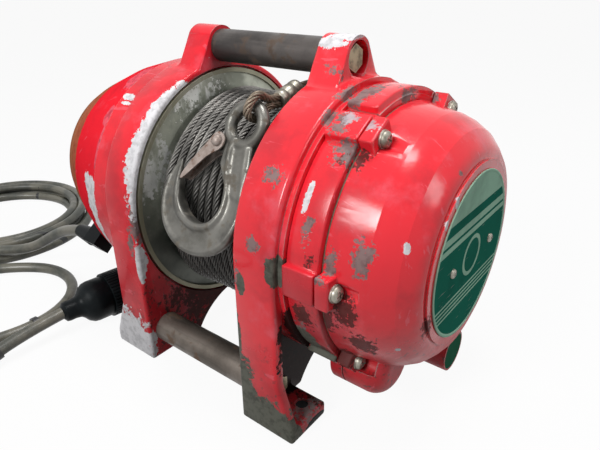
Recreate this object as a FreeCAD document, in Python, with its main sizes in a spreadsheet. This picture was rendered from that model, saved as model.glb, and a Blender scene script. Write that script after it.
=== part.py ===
import FreeCAD, Part
import math
import os
import re
import Sketcher
from FreeCAD import Placement, Rotation, Vector

# Electric winch in its own frame, millimetres: X along the drum with the gear side at +X, +Y to the back,
# +Z up, and the origin on the floor at the centre of the four foot holes.

SIZES = {
    # The two cast frames
    "axis_height": 133,
    "frame_gap": 106,
    "ring_radius": 108,
    "leg_depth": 35,
    "frame_wall": 8,
    "web_thickness": 14,
    "recess_depth": 6.5,
    "lip_clearance": 2,
    "hub_radius": 40,
    "hub_lip": 2.5,
    "foot_width": 49,
    "foot_length": 41,
    "foot_thickness": 12,
    "flare_rise": 34,
    "arch_height": 30.5,
    "arch_radius": 63,
    "foot_hole_diameter": 10,
    "bolt_spacing_x": 178,
    "bolt_spacing_y": 160,
    "lug_rise": 120,
    "lug_thickness": 25,
    "lug_radius": 15.5,
    "lug_flank_angle": 32,
    "seat_bore": 90,
    "gear_seat_radius": 103,
    "gear_seat_reach": 4,
    "motor_seat_radius": 105.5,
    "motor_seat_reach": 17,
    # Tie tubes, their through-bolts, nuts and washers
    "tube_diameter": 25.4,
    "tube_wall": 2.8,
    "tie_inset": 19,
    "tie_height": 26,
    "tie_bolt_diameter": 10,
    "bolt_clearance": 0.3,
    "hex_across": 17,
    "hex_height": 6.5,
    "washer_radius": 10.5,
    "washer_thickness": 2,
    "counterbore_radius": 12.5,
    "counterbore_depth": 11,
    # Drum, flanges and wound rope
    "flange_radius": 101.5,
    "flange_thickness": 5,
    "flange_rim": 3.5,
    "flange_dish": 2,
    "drum_side_play": 0.5,
    "barrel_radius": 45,
    "barrel_wall": 6,
    "winding_radius": 88.5,
    "rope_diameter": 6,
    "drum_shaft_radius": 17.5,
    "drum_shaft_bore": 12,
    "drum_bearing_radius": 31,
    "drum_bearing_width": 14,
    "running_fit": 0.05,
    "seat_fit": 0.05,
    # Gear train
    "gear_module": 1.25,
    "pinion_teeth": 12,
    "wheel_teeth": 60,
    "pressure_angle": 25,
    "tooth_backlash": 0.24,
    "drum_gear_face": 18,
    "motor_gear_face": 12,
    "gear_side_gap": 2,
    "layshaft_radius": 5.5,
    "wheel_seat_radius": 7,
    "small_bearing_radius": 13,
    "small_bearing_width": 8,
    "bearing_boss_wall": 5,
    "retaining_ring_width": 1.5,
    "retaining_ring_height": 3.5,
    # Gear case and cover
    "case_radius": 100,
    "case_depth": 24,
    "case_back": 6,
    "seal_radius": 26,
    "gasket_thickness": 1,
    "gasket_width": 5,
    "screw_circle": 96.5,
    "boss_top": 104,
    "boss_width": 22,
    "cover_boss_length": 10,
    "screw_diameter": 6,
    "screw_grip": 14,
    "screw_hex_across": 10,
    "screw_head_height": 3.2,
    "screw_washer_radius": 6,
    "spot_face_depth": 14,
    "screw_washer_thickness": 1.2,
    "hump_radius": 105,
    "hump_span_angle": 46,
    "hump_end_angle": 26,
    "cover_radius": 96,
    "cover_shoulder_radius": 90.5,
    "cover_shoulder_depth": 31,
    "cover_brow_radius": 80,
    "cover_brow_depth": 48,
    "cover_depth": 54,
    "cover_face_radius": 71,
    "cover_round": 8,
    "cover_wall": 7,
    "plate_pad_radius": 65,
    "plate_pad_height": 1.8,
    "plate_radius": 59.2,
    "plate_thickness": 1,
    "plate_screw_circle": 32,
    "plate_screw_radius": 3.2,
    "plate_screw_height": 2,
    "pot_radius": 25,
    "pot_circle": 91.5,
    "pot_angle": -152,
    "pot_length": 30,
    "pot_round": 14,
    "pot_flange": 10,
    "pot_bore": 15,
    "pot_end_wall": 4,
    "capacitor_clearance": 1,
    "capacitor_length": 22,
    "filler_radius": 16.5,
    "filler_circle": 94,
    "filler_angle": 172,
    "filler_length": 49,
    "plug_lip": 1.5,
    "plug_depth": 6,
    # Motor, brake and end bell
    "motor_shaft_radius": 7.5,
    "pinion_journal_radius": 4.5,
    "motor_bearing_radius": 17.5,
    "motor_bearing_width": 11,
    "bulkhead_thickness": 6,
    "motor_hub_radius": 24,
    "cover_mid_radius": 97,
    "cover_mid_reach": 138,
    "bell_radius": 80.5,
    "bell_start": 181,
    "bell_rim_radius": 72,
    "bell_rim_depth": 18,
    "bell_end_radius": 62,
    "bell_end_depth": 6,
    "bell_wall": 6,
    "stator_radius": 86,
    "stator_bore": 55,
    "stator_start": 120,
    "stator_length": 30,
    "winding_overhang": 10,
    "winding_inner": 60,
    "winding_outer": 82,
    "air_gap": 0.6,
    "brake_disc_radius": 46,
    "brake_disc_thickness": 4,
    "brake_gap": 1,
    "brake_coil_radius": 48,
    "brake_coil_bore": 26,
    "brake_coil_length": 20,
    "brake_screw_circle": 37,
    "brake_screw_diameter": 5,
    "brake_screw_length": 14,
    "brake_screw_head_radius": 4.5,
    "brake_screw_head_height": 3,
    # Hook, latch and rope end
    "hook_place": 14.5,
    "hook_slide": -12.4,
    "hook_lean_angle": 28,
    "hook_tilt_angle": 19,
    "hook_thickness": 14,
    "hook_rest_gap": 0.4,
    "rope_rest_gap": 1.2,
    "bowl_outer_radius": 38,
    "bowl_inner_radius": 19.5,
    "bowl_drop": 6,
    "eye_ring_radius": 14,
    "eye_bar_radius": 4.5,
    "eye_bar_swell": 0.4,
    "eye_rise": 56,
    "eye_loop_gap": 0.8,
    "latch_rise": 36,
    "latch_offset": -12,
    "latch_pin_radius": 2.5,
    "latch_ear_radius": 6,
    "latch_ear_thickness": 3,
    "latch_inside": 7,
    "latch_sheet": 1.5,
    "latch_reach": 34,
    "ferrule_radius": 6.5,
    "ferrule_length": 22,
    "ferrule_circle": 100,
    "ferrule_angle": -16,
    "ferrule_place": 38,
    # Power cord, its gland and its plug
    "cord_diameter": 11,
    "floor_gap": 0.3,
    "gland_angle": -130,
    "gland_place": 165,
    "gland_length": 18,
    "gland_width": 20,
    "gland_inner": 80,
    "gland_outer": 105,
    "cord_circle": 97,
    "relief_length": 24,
    "relief_root_radius": 9,
    "relief_tip_radius": 6.5,
    "coil_x": -437,
    "coil_y": -50,
    "coil_radius": 106,
    "coil_band": 44,
    "coil_height": 23,
    "plug_boot_radius": 9.5,
    "plug_waist_radius": 13,
    "plug_body_radius": 20,
    "plug_collar_radius": 22,
    "plug_boot_length": 16,
    "plug_body_length": 26,
    "plug_collar_length": 22,
    "plug_wall": 3,
    "pin_length": 17,
    "pin_width": 6.3,
    "pin_thickness": 1.6,
    "pin_spacing": 12.7,
    "plug_x": -150,
    "plug_y": -132,
    "plug_heading_angle": 8,
    "tie_band_width": 5,
    "tie_band_thickness": 1.6,
}

# Lengths that follow from the driving dimensions
DERIVED = {
    "half_gap": "frame_gap / 2",
    "frame_end": "half_gap + leg_depth",
    "web_face": "half_gap + web_thickness",
    "recess_floor": "half_gap + recess_depth",
    "bearing_start": "recess_floor + hub_lip",
    "bearing_end": "bearing_start + drum_bearing_width",
    "hub_end": "bearing_end + 2 * drum_side_play",
    "drum_end": "half_gap - drum_side_play",
    "flange_back": "drum_end + flange_thickness",
    "handle_height": "axis_height + lug_rise",
    "case_start": "frame_end + gear_seat_reach",
    "parting": "case_start + case_depth",
    "cover_start": "parting + gasket_thickness",
    "screw_seat": "cover_start + cover_boss_length",
    "cover_front": "cover_start + cover_depth",
    "cover_inside": "cover_front - cover_wall",
    "plate_seat": "cover_front + plate_pad_height",
    "plate_front": "plate_seat + plate_thickness",
    "case_floor": "case_start + case_back",
    "lay_bearing_start": "case_floor - small_bearing_width / 2",
    "lay_bearing_end": "lay_bearing_start + small_bearing_width",
    "drum_gear_start": "lay_bearing_end + gear_side_gap",
    "drum_gear_end": "drum_gear_start + drum_gear_face",
    "shaft_end": "drum_gear_end + retaining_ring_width",
    "motor_gear_start": "shaft_end + gear_side_gap",
    "motor_gear_end": "motor_gear_start + motor_gear_face",
    "end_bearing_start": "motor_gear_end + gear_side_gap * 2",
    "end_bearing_end": "end_bearing_start + small_bearing_width",
    "gear_distance": "gear_module * (pinion_teeth + wheel_teeth) / 2",
    "lay_height": "axis_height + gear_distance",
    "motor_start": "frame_end + motor_seat_reach",
    "bulkhead_start": "motor_start - bulkhead_thickness",
    "stator_end": "stator_start + stator_length",
    "tie_reach": "ring_radius - tie_inset",
    "bell_rim_reach": "bell_start + bell_rim_depth",
    "bell_reach": "bell_rim_reach + bell_end_depth",
    "bell_inside": "bell_reach - bell_wall",
    "end_shaft_reach": "bell_inside - 2",
    "brake_face": "bell_inside - brake_coil_length",
    "hook_offset": "winding_radius + hook_rest_gap + hook_thickness / 2",
    "hook_y": "hook_slide * sin(hook_lean_angle) - hook_offset * cos(hook_lean_angle)",
    "hook_z": "axis_height + hook_slide * cos(hook_lean_angle) + hook_offset * sin(hook_lean_angle)",
    "rope_radius": "rope_diameter / 2",
    "cord_radius": "cord_diameter / 2",
    "cord_floor": "cord_radius + floor_gap",
    "bolt_radius": "tie_bolt_diameter / 2",
    "bolt_hole": "bolt_radius + bolt_clearance",
    "screw_radius": "screw_diameter / 2",
    "screw_hole": "screw_radius + bolt_clearance",
}

COVER_SCREW_ANGLES = (30, -30, -90, -138, 90, 150)
BRAKE_SCREW_ANGLES = (45, 135, 225, 315)
FRONT, BACK = -1, 1
MOTOR_SIDE, GEAR_SIDE = -1, 1
ALONG_X = Rotation(Vector(0, 1, 0), 90)
WORD = re.compile(r"[A-Za-z_]\w*")

doc = FreeCAD.newDocument("electric_winch")
sheet = doc.addObject("Spreadsheet::Sheet", "Dims")
for row, (alias, size) in enumerate(SIZES.items(), 1):
    sheet.set(f"A{row}", alias)
    sheet.set(f"B{row}", str(size))
    sheet.setAlias(f"B{row}", alias)
doc.recompute()


def spell(text):
    """Writes an expression out in the sheet's own cells."""
    def swap(match):
        word = match.group()
        if word in SIZES:
            return "Dims." + word
        return f"({spell(DERIVED[word])})" if word in DERIVED else word
    return WORD.sub(swap, str(text))


def value(text):
    return float(sheet.evalExpression(spell(text)))


def bind(thing, **sizes):
    for name, text in sizes.items():
        thing.setExpression(name, spell(text))
    return thing


def place(thing, x="0", y="0", z="0", turn=Rotation()):
    thing.Placement = Placement(Vector(value(x), value(y), value(z)), turn)
    for axis, text in zip("xyz", (x, y, z)):
        thing.setExpression("Placement.Base." + axis, spell(text))
    return thing


def rod(name, radius, start, end, y="0", z="axis_height"):
    """A round bar along X."""
    bar = bind(doc.addObject("Part::Cylinder", name), Radius=radius, Height=f"({end}) - ({start})")
    return place(bar, start, y, z, ALONG_X)


def hexagon(name, across, start, end, y="0", z="axis_height"):
    """A hexagonal bar along X, measured across its flats."""
    bar = doc.addObject("Part::Prism", name)
    bar.Polygon = 6
    bind(bar, Circumradius=f"({across}) / sqrt(3)", Height=f"({end}) - ({start})")
    return place(bar, start, y, z, ALONG_X)


def block(name, x, y, z):
    box = doc.addObject("Part::Box", name)
    spans = {side: f"({high}) - ({low})" for side, (low, high) in zip(("Length", "Width", "Height"), (x, y, z))}
    return place(bind(box, **spans), x[0], y[0], z[0])


def radial(circle, angle):
    """Y and Z of a point on a circle about the drum axis, its angle from the top towards the back."""
    return f"({circle}) * sin({angle})", f"axis_height + ({circle}) * cos({angle})"


def spoke(name, x, width, inner, outer, angle):
    """A square boss that stands on a round casing."""
    box = bind(doc.addObject("Part::Box", name), Length=f"({x[1]}) - ({x[0]})", Width=width,
               Height=f"({outer}) - ({inner})")
    y, z = radial(inner, angle)
    corner_y = f"{y} - ({width}) / 2 * cos({angle})"
    corner_z = f"{z} + ({width}) / 2 * sin({angle})"
    return place(box, x[0], corner_y, corner_z, Rotation(Vector(1, 0, 0), -value(angle)))


def fuse(name, pieces):
    joined = doc.addObject("Part::MultiFuse", name)
    joined.Shapes = pieces
    joined.Refine = True
    return joined


def cut(name, base, tools):
    trimmed = doc.addObject("Part::Cut", name)
    trimmed.Base = base
    trimmed.Tool = tools[0] if len(tools) == 1 else fuse(name + "_cutters", tools)
    trimmed.Refine = True
    return trimmed


def group(name, pieces):
    gathered = doc.addObject("Part::Compound", name)
    gathered.Links = pieces
    return gathered


def outline(body, plane, points):
    """A closed sketch on one of the body's planes, each corner bound to the sheet."""
    sketch = body.newObject("Sketcher::SketchObject", body.Name + "_outline")
    support = next(p for p in body.Origin.OriginFeatures if p.Role == plane)
    sketch.AttachmentSupport = (support, [""])
    sketch.MapMode = "FlatFace"
    corners = [Vector(value(u), value(v), 0) for u, v in points]
    count = len(corners)
    for i, corner in enumerate(corners):
        sketch.addGeometry(Part.LineSegment(corner, corners[(i + 1) % count]), False)
    for i in range(count):
        sketch.addConstraint(Sketcher.Constraint("Coincident", i, 2, (i + 1) % count, 1))
    for i, (point, corner) in enumerate(zip(points, corners)):
        for kind, text, at in (("DistanceX", point[0], corner.x), ("DistanceY", point[1], corner.y)):
            number = sketch.addConstraint(Sketcher.Constraint(kind, -1, 1, i, 1, at))
            sketch.setExpression(f"Constraints[{number}]", spell(text))
    return sketch


def turned(name, points, y="0", z="axis_height", rounds=()):
    """A piece turned about X, from (x, radius) corners; rounds lists corners and their fillet radius."""
    body = doc.addObject("PartDesign::Body", name)
    sketch = outline(body, "XY_Plane", points)
    turn = body.newObject("PartDesign::Revolution", name + "_turn")
    turn.Profile = sketch
    turn.ReferenceAxis = (sketch, ["H_Axis"])
    turn.Angle = 360
    place(body, "0", y, z)
    for number, (corner, radius) in enumerate(rounds):
        doc.recompute()
        at, wide = value(corner[0]), value(corner[1])
        base = body.Tip
        edges = [f"Edge{i}" for i, edge in enumerate(base.Shape.Edges, 1)
                 if isinstance(edge.Curve, Part.Circle) and abs(edge.Curve.Radius - wide) < 1e-6
                 and abs(edge.Curve.Center.x - at) < 1e-6]
        fillet = body.newObject("PartDesign::Fillet", f"{name}_round{number}")
        fillet.Base = (base, edges)
        bind(fillet, Radius=radius)
    return body


def ring(name, start, end, inner, outer, y="0", z="axis_height"):
    return turned(name, [(start, inner), (end, inner), (end, outer), (start, outer)], y, z)


def prism(name, plane, points, length, x="0", y="0", z="0"):
    """A padded outline: along +X from the YZ plane, along -Y from the XZ plane, along +Z from XY."""
    body = doc.addObject("PartDesign::Body", name)
    pad = body.newObject("PartDesign::Pad", name + "_pad")
    pad.Profile = outline(body, plane, points)
    bind(pad, Length=length)
    return place(body, x, y, z)


def span(side, near, far):
    """A stretch of X on the gear side, or its mirror image on the motor side."""
    return (near, far) if side == GEAR_SIDE else (f"-({far})", f"-({near})")


def frame(name, side, seat_radius, seat_reach, screw_angles):
    """One cast frame: a deep wall over the legs and ring, a web, feet, a lug and the bearing hub."""
    def bar(tag, radius, near, far, y="0", z="axis_height"):
        return rod(f"{name}_{tag}", radius, *span(side, near, far), y, z)

    def pack(tag, near, far, y, z):
        return block(f"{name}_{tag}", span(side, near, far), y, z)

    inner = "ring_radius - frame_wall"
    whole = fuse(name + "_outside", [
        bar("disc", "ring_radius", "half_gap", "frame_end"),
        pack("legs", "half_gap", "frame_end", ("-ring_radius", "ring_radius"), ("0", "axis_height"))])
    shell = cut(name + "_shell", whole, [
        bar("hollow", inner, "web_face", "frame_end + 1"),
        pack("between", "web_face", "frame_end + 1", (f"-({inner})", inner), ("-1", "axis_height"))])
    added = [shell, bar("hub", "hub_radius", "recess_floor", "hub_end")]
    start, end = span(side, "web_face - 1", f"frame_end + ({seat_reach})")
    added.append(ring(name + "_seat", start, end, "seat_bore", seat_radius))
    for end_of_frame in (FRONT, BACK):
        tag = "front" if end_of_frame == FRONT else "back"
        near, far = "ring_radius - foot_length", "ring_radius"
        low, high = (near, far) if end_of_frame == BACK else (f"-({far})", f"-({near})")
        added.append(pack(tag + "_foot", "half_gap", "half_gap + foot_width", (low, high),
                          ("0", "foot_thickness")))
        edge = [(f"{side} * frame_end", "foot_thickness"),
                (f"{side} * (half_gap + foot_width)", "foot_thickness"),
                (f"{side} * frame_end", "foot_thickness + flare_rise")]
        flare_y = "-ring_radius + frame_wall" if end_of_frame == FRONT else "ring_radius"
        added.append(prism(f"{name}_{tag}_flare", "XZ_Plane", edge, "frame_wall", y=flare_y))
    tangent_y = "lug_radius * cos(lug_flank_angle)"
    tangent_z = "handle_height + lug_radius * sin(lug_flank_angle)"
    root_z = "axis_height + ring_radius - frame_wall"
    root_y = f"{tangent_y} + ({tangent_z} - ({root_z})) * tan(lug_flank_angle)"
    flanks = [(f"-({root_y})", root_z), (root_y, root_z), (tangent_y, tangent_z),
              (f"-({tangent_y})", tangent_z)]
    lug_start = span(side, "half_gap", "half_gap + lug_thickness")[0]
    added.append(prism(name + "_lug", "YZ_Plane", flanks, "lug_thickness", x=lug_start))
    added.append(bar("lug_top", "lug_radius", "half_gap", "half_gap + lug_thickness", z="handle_height"))

    lug_floor = "half_gap + lug_thickness - counterbore_depth"
    holes = [
        bar("recess", "flange_radius + lip_clearance", "half_gap - 1", "recess_floor"),
        bar("bearing_bore", "drum_bearing_radius + seat_fit", "bearing_start", "hub_end + 1"),
        bar("shaft_hole", "(drum_shaft_radius + drum_bearing_radius) / 2", "half_gap", "hub_end"),
        bar("arch", "arch_radius", "half_gap - 1", "half_gap + foot_width + 1", z="arch_height - arch_radius"),
        bar("lug_hole", "bolt_hole", "half_gap - 1", "half_gap + lug_thickness", z="handle_height"),
        bar("lug_counterbore", "counterbore_radius", lug_floor, "half_gap + lug_thickness + 1",
            z="handle_height")]
    for y_side in (FRONT, BACK):
        tag = "front" if y_side == FRONT else "back"
        holes.append(bar(tag + "_tie_hole", "bolt_hole", "half_gap - 1", "web_face + 1",
                         f"{y_side} * tie_reach", "tie_height"))
        hole = bind(doc.addObject("Part::Cylinder", f"{name}_{tag}_foot_hole"),
                    Radius="foot_hole_diameter / 2", Height="foot_thickness + 2")
        holes.append(place(hole, f"{side} * bolt_spacing_x / 2", f"{y_side} * bolt_spacing_y / 2", "-1"))
    for number, angle in enumerate(screw_angles):
        y, z = radial("screw_circle", angle)
        holes.append(bar(f"screw_hole{number}", "screw_hole", "case_start - screw_grip", "case_start + 1",
                         y, z))
    return cut(name, fuse(name + "_solid", added), holes)


def tie_fasteners():
    """Three tubes between the frames, each on a through-bolt with a nut and two washers."""
    places = (("handle", "0", "handle_height", "half_gap + lug_thickness - counterbore_depth"),
              ("front_tie", "-tie_reach", "tie_height", "web_face"),
              ("rear_tie", "tie_reach", "tie_height", "web_face"))
    tubes, bolts, nuts, washers = [], [], [], []
    for tag, y, z, seat in places:
        tubes.append(ring(tag + "_tube", "-half_gap", "half_gap", "tube_diameter / 2 - tube_wall",
                          "tube_diameter / 2", y, z))
        grip = f"{seat} + washer_thickness"
        bolts.append(fuse(tag + "_bolt", [
            rod(tag + "_shank", "bolt_radius", f"-({grip} + hex_height + 1)", grip, y, z),
            hexagon(tag + "_head", "hex_across", grip, f"{grip} + hex_height", y, z)]))
        nuts.append(cut(tag + "_nut", hexagon(tag + "_nut_blank", "hex_across", f"-({grip} + hex_height)",
                                              f"-({grip})", y, z),
                        [rod(tag + "_nut_bore", "bolt_radius + seat_fit", f"-({grip} + hex_height + 1)",
                             f"-({grip}) + 1", y, z)]))
        for side in (MOTOR_SIDE, GEAR_SIDE):
            start, end = span(side, seat, grip)
            end_tag = "left" if side == MOTOR_SIDE else "right"
            washers.append(ring(f"{tag}_{end_tag}_washer", start, end, "bolt_hole", "washer_radius", y, z))
    return tubes + [group("tie_bolts", bolts), group("tie_nuts", nuts), group("tie_washers", washers)]


def gear_outline(teeth, module, pressure, thinning, phase):
    """A spur gear's closed outline: straight-line chords on true involute flanks."""
    pitch = module * teeth / 2
    base = pitch * math.cos(pressure)
    tip, root = pitch + module, pitch - 1.25 * module

    def unwound(radius):
        angle = math.acos(min(1.0, base / radius))
        return math.tan(angle) - angle

    half_tooth = math.pi / (2 * teeth) - thinning / (2 * pitch) + unwound(pitch)
    steps = 4
    start = max(base, root)
    radii = [start + (tip - start) * k / steps for k in range(steps + 1)]
    flank = [(r, half_tooth - unwound(r)) for r in radii]
    profile = [(root, flank[0][1])] + flank if root < start else flank
    points = []
    for tooth in range(teeth):
        centre = phase + 2 * math.pi * tooth / teeth
        points += [(r, centre - a) for r, a in profile]
        points += [(r, centre + a) for r, a in reversed(profile)]
    corners = [Vector(0, r * math.sin(a), r * math.cos(a)) for r, a in points]
    return Part.makePolygon(corners + corners[:1])


def toothed(name, teeth, start, face, bore, phase, height):
    """A gear about X, its tooth 0 at the phase angle from the top; a pinion cut on its shaft has no bore."""
    module, pressure = value("gear_module"), math.radians(value("pressure_angle"))
    wire = gear_outline(int(value(teeth)), module, pressure, value("tooth_backlash") / 2, phase)
    solid = Part.Face(wire).extrude(Vector(value(face), 0, 0))
    if bore:
        solid = solid.cut(Part.makeCylinder(value(bore), value(face) + 2, Vector(-1, 0, 0), Vector(1, 0, 0)))
    gear = doc.addObject("Part::Feature", name)
    gear.Shape = solid
    return place(gear, start, "0", height)


def gear_train():
    """Two reductions: motor pinion to layshaft wheel, layshaft pinion to the gear on the drum shaft."""
    half_pitch = math.pi / value("wheel_teeth")
    drum_gear = toothed("drum_gear", "wheel_teeth", "drum_gear_start", "drum_gear_face",
                        "drum_shaft_radius + seat_fit", half_pitch, "axis_height")
    motor_pinion = toothed("motor_pinion", "pinion_teeth", "motor_gear_start", "motor_gear_face",
                           "pinion_journal_radius + seat_fit", 0, "axis_height")
    wheel = toothed("layshaft_wheel", "wheel_teeth", "motor_gear_start", "motor_gear_face",
                    "wheel_seat_radius + seat_fit", math.pi + half_pitch, "lay_height")
    teeth = toothed("layshaft_teeth", "pinion_teeth", "drum_gear_start - 0.5", "drum_gear_face + 1", None,
                    math.pi, "lay_height")
    bar = rod("layshaft_bar", "layshaft_radius", "lay_bearing_start", "end_bearing_end", z="lay_height")
    seat = rod("layshaft_seat", "wheel_seat_radius", "motor_gear_start - gear_side_gap / 2",
               "motor_gear_end + gear_side_gap / 2", z="lay_height")
    layshaft = fuse("layshaft", [bar, seat, teeth])
    keeper = ring("gear_retaining_ring", "drum_gear_end", "shaft_end", "drum_shaft_radius + seat_fit",
                  "drum_shaft_radius + retaining_ring_height")
    bearings = group("layshaft_bearings", [
        ring("layshaft_case_bearing", "lay_bearing_start", "lay_bearing_end", "layshaft_radius + running_fit",
             "small_bearing_radius", z="lay_height"),
        ring("layshaft_cover_bearing", "end_bearing_start", "end_bearing_end", "layshaft_radius + running_fit",
             "small_bearing_radius", z="lay_height")])
    return [drum_gear, motor_pinion, wheel, layshaft, keeper, bearings]


def drum():
    """The barrel, its two dished flanges, the wound rope and the hollow shaft with its bearings."""
    barrel = ring("drum_barrel", "-drum_end", "drum_end", "barrel_radius - barrel_wall", "barrel_radius")
    winding = ring("wound_rope", "-drum_end", "drum_end", "barrel_radius + seat_fit", "winding_radius")
    flanges = []
    for name, side in (("motor_side_flange", MOTOR_SIDE), ("gear_side_flange", GEAR_SIDE)):
        profile = [("drum_end", "drum_shaft_radius + seat_fit"), ("drum_end", "winding_radius - rope_diameter"),
                   ("drum_end + flange_dish", "flange_radius - flange_rim"),
                   ("drum_end", "flange_radius - flange_rim"),
                   ("drum_end", "flange_radius"), ("flange_back", "flange_radius"),
                   ("flange_back", "drum_shaft_radius + seat_fit")]
        flanges.append(turned(name, [(f"{side} * ({x})", r) for x, r in profile]))
    shaft = ring("drum_shaft", "-hub_end", "shaft_end", "drum_shaft_bore", "drum_shaft_radius")
    bearings = []
    for tag, side in (("motor_side", MOTOR_SIDE), ("gear_side", GEAR_SIDE)):
        start, end = span(side, "bearing_start", "bearing_end")
        bearings.append(ring(tag + "_drum_bearing", start, end, "drum_shaft_radius + running_fit",
                             "drum_bearing_radius"))
    return [barrel, winding, shaft, group("drum_bearings", bearings)] + flanges


def gear_casing():
    """The gear case with its screw bosses and hump, the domed cover with its two pots, seal and gasket."""
    pot_y, pot_z = radial("pot_circle", "pot_angle")
    filler_y, filler_z = radial("filler_circle", "filler_angle")
    case_parts = [rod("case_wall", "case_radius", "case_start", "parting"),
                  rod("case_pot_flange", "pot_radius", "parting - pot_flange", "parting", pot_y, pot_z)]
    cover_parts = []
    case_holes, cover_holes, gasket_holes, screws, washers = [], [], [], [], []
    for number, angle in enumerate(COVER_SCREW_ANGLES):
        y, z = radial("screw_circle", angle)
        reach = "boss_top - boss_width"
        case_parts.append(spoke(f"case_boss{number}", ("case_start", "parting"), "boss_width", reach,
                                "boss_top", angle))
        cover_parts.append(spoke(f"cover_boss{number}", ("cover_start", "screw_seat"), "boss_width", reach,
                                 "boss_top", angle))
        case_holes.append(rod(f"case_screw_hole{number}", "screw_hole", "case_start - 1", "parting + 1", y, z))
        cover_holes.append(rod(f"cover_screw_hole{number}", "screw_hole", "cover_start - 1",
                               "screw_seat + 1", y, z))
        gasket_holes.append(rod(f"gasket_screw_hole{number}", "screw_hole", "parting - 1",
                                "cover_start + 1", y, z))
        cover_holes.append(rod(f"cover_spot_face{number}", "screw_washer_radius + bolt_clearance", "screw_seat",
                               "screw_seat + spot_face_depth", y, z))
        head = "screw_seat + screw_washer_thickness"
        screws.append(fuse(f"cover_screw{number}", [
            rod(f"cover_shank{number}", "screw_radius", "case_start - screw_grip + 1", head, y, z),
            hexagon(f"cover_head{number}", "screw_hex_across", head, f"{head} + screw_head_height", y, z)]))
        washers.append(ring(f"cover_washer{number}", "screw_seat", head, "screw_hole",
                            "screw_washer_radius", y, z))
    hump = bind(doc.addObject("Part::Cylinder", "case_hump"), Radius="hump_radius",
                Height="case_depth - gasket_thickness", Angle="hump_span_angle")
    place(hump, "case_start", "0", "axis_height",
          Rotation(Vector(1, 0, 0), 180 - value("hump_end_angle")).multiply(ALONG_X))
    solid_case = fuse("case_solid", case_parts + [hump])
    hollow_case = cut("case_hollow", solid_case, [rod("case_bore", "seat_bore", "case_floor", "parting + 1")])
    boss = rod("case_bearing_boss", "small_bearing_radius + bearing_boss_wall", "case_floor - 1",
               "lay_bearing_end", z="lay_height")
    case_holes += [rod("case_seal_bore", "seal_radius + seat_fit", "case_start - 1", "lay_bearing_end + 1"),
                   rod("case_bearing_bore", "small_bearing_radius + seat_fit", "lay_bearing_start",
                       "lay_bearing_end + 1", z="lay_height")]
    case = cut("gear_case", fuse("case_with_boss", [hollow_case, boss]), case_holes)
    seal = ring("shaft_seal", "case_start", "case_floor", "drum_shaft_radius + running_fit", "seal_radius")
    gasket = cut("cover_gasket", ring("gasket_blank", "parting", "cover_start", "seat_bore",
                                      "seat_bore + gasket_width"), gasket_holes)

    shoulder = "cover_start + cover_shoulder_depth"
    brow = "cover_start + cover_brow_depth"
    dome = turned("cover_dome", [
        ("cover_start", "0"), ("cover_start", "cover_radius"),
        (f"{shoulder} - cover_round / 2", "cover_shoulder_radius + cover_round / 10"),
        (f"{shoulder} + cover_round / 2", "cover_shoulder_radius - cover_round / 4"),
        (f"{brow} - cover_round / 2", "cover_brow_radius + cover_round * 0.4"),
        (f"{brow} + cover_round / 4", "cover_brow_radius - cover_round * 0.4"),
        ("cover_front", "cover_face_radius"), ("cover_front", "plate_pad_radius"),
        ("plate_seat", "plate_pad_radius"), ("plate_seat", "0")])
    pot_end = "cover_start + pot_length"
    pot = turned("cover_pot", [("cover_start", "0"), ("cover_start", "pot_radius"), (pot_end, "pot_radius"),
                               (pot_end, "0")], pot_y, pot_z, rounds=[((pot_end, "pot_radius"), "pot_round")])
    filler_end = "cover_start + filler_length"
    filler = rod("cover_filler", "filler_radius", "cover_start", filler_end, filler_y, filler_z)
    solid_cover = fuse("cover_solid", cover_parts + [dome, pot, filler])
    inner = "seat_bore"
    cavity = turned("cover_cavity", [
        ("cover_start - 1", "0"), ("cover_start - 1", inner), ("cover_start", inner),
        (shoulder, "cover_shoulder_radius - cover_wall"),
        (f"{brow} - cover_wall", "cover_brow_radius - cover_wall"),
        ("cover_inside", "cover_face_radius - cover_wall"), ("cover_inside", "0")])
    pot_hollow = rod("pot_hollow", "pot_bore", "cover_start - 1", f"{pot_end} - pot_end_wall", pot_y, pot_z)
    hollow_cover = cut("cover_hollow", solid_cover, [cavity, pot_hollow])
    bosses = [rod("cover_motor_boss", "small_bearing_radius + bearing_boss_wall", "end_bearing_start",
                  "cover_inside + 1"),
              rod("cover_lay_boss", "small_bearing_radius + bearing_boss_wall", "end_bearing_start",
                  "cover_inside + 1", z="lay_height")]
    cover_holes += [rod("cover_motor_bore", "small_bearing_radius + seat_fit", "end_bearing_start - 1",
                        "end_bearing_end + seat_fit"),
                    rod("cover_lay_bore", "small_bearing_radius + seat_fit", "end_bearing_start - 1",
                        "end_bearing_end + seat_fit", z="lay_height"),
                    rod("filler_counterbore", "filler_radius - plug_lip", f"{filler_end} - plug_depth",
                        f"{filler_end} + 1", filler_y, filler_z)]
    cover = cut("gear_cover", fuse("cover_with_bosses", [hollow_cover] + bosses), cover_holes)
    filler_plug = rod("filler_plug", "filler_radius - plug_lip - seat_fit", f"{filler_end} - plug_depth",
                      filler_end, filler_y, filler_z)
    pot_floor = f"{pot_end} - pot_end_wall"
    capacitor = rod("motor_capacitor", "pot_bore - capacitor_clearance", f"{pot_floor} - capacitor_length",
                    pot_floor, pot_y, pot_z)
    plate = turned("nameplate", [("plate_seat", "0"), ("plate_front", "0"), ("plate_front", "plate_radius"),
                                 ("plate_seat", "plate_radius")])
    studs = []
    for number, angle in enumerate((90, -90)):
        y, z = radial("plate_screw_circle", angle)
        studs.append(rod(f"plate_screw{number}", "plate_screw_radius", "plate_front",
                         "plate_front + plate_screw_height", y, z))
    return [case, seal, gasket, cover, filler_plug, capacitor, plate, group("nameplate_screws", studs),
            group("cover_screws", screws), group("cover_screw_washers", washers)]


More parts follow.
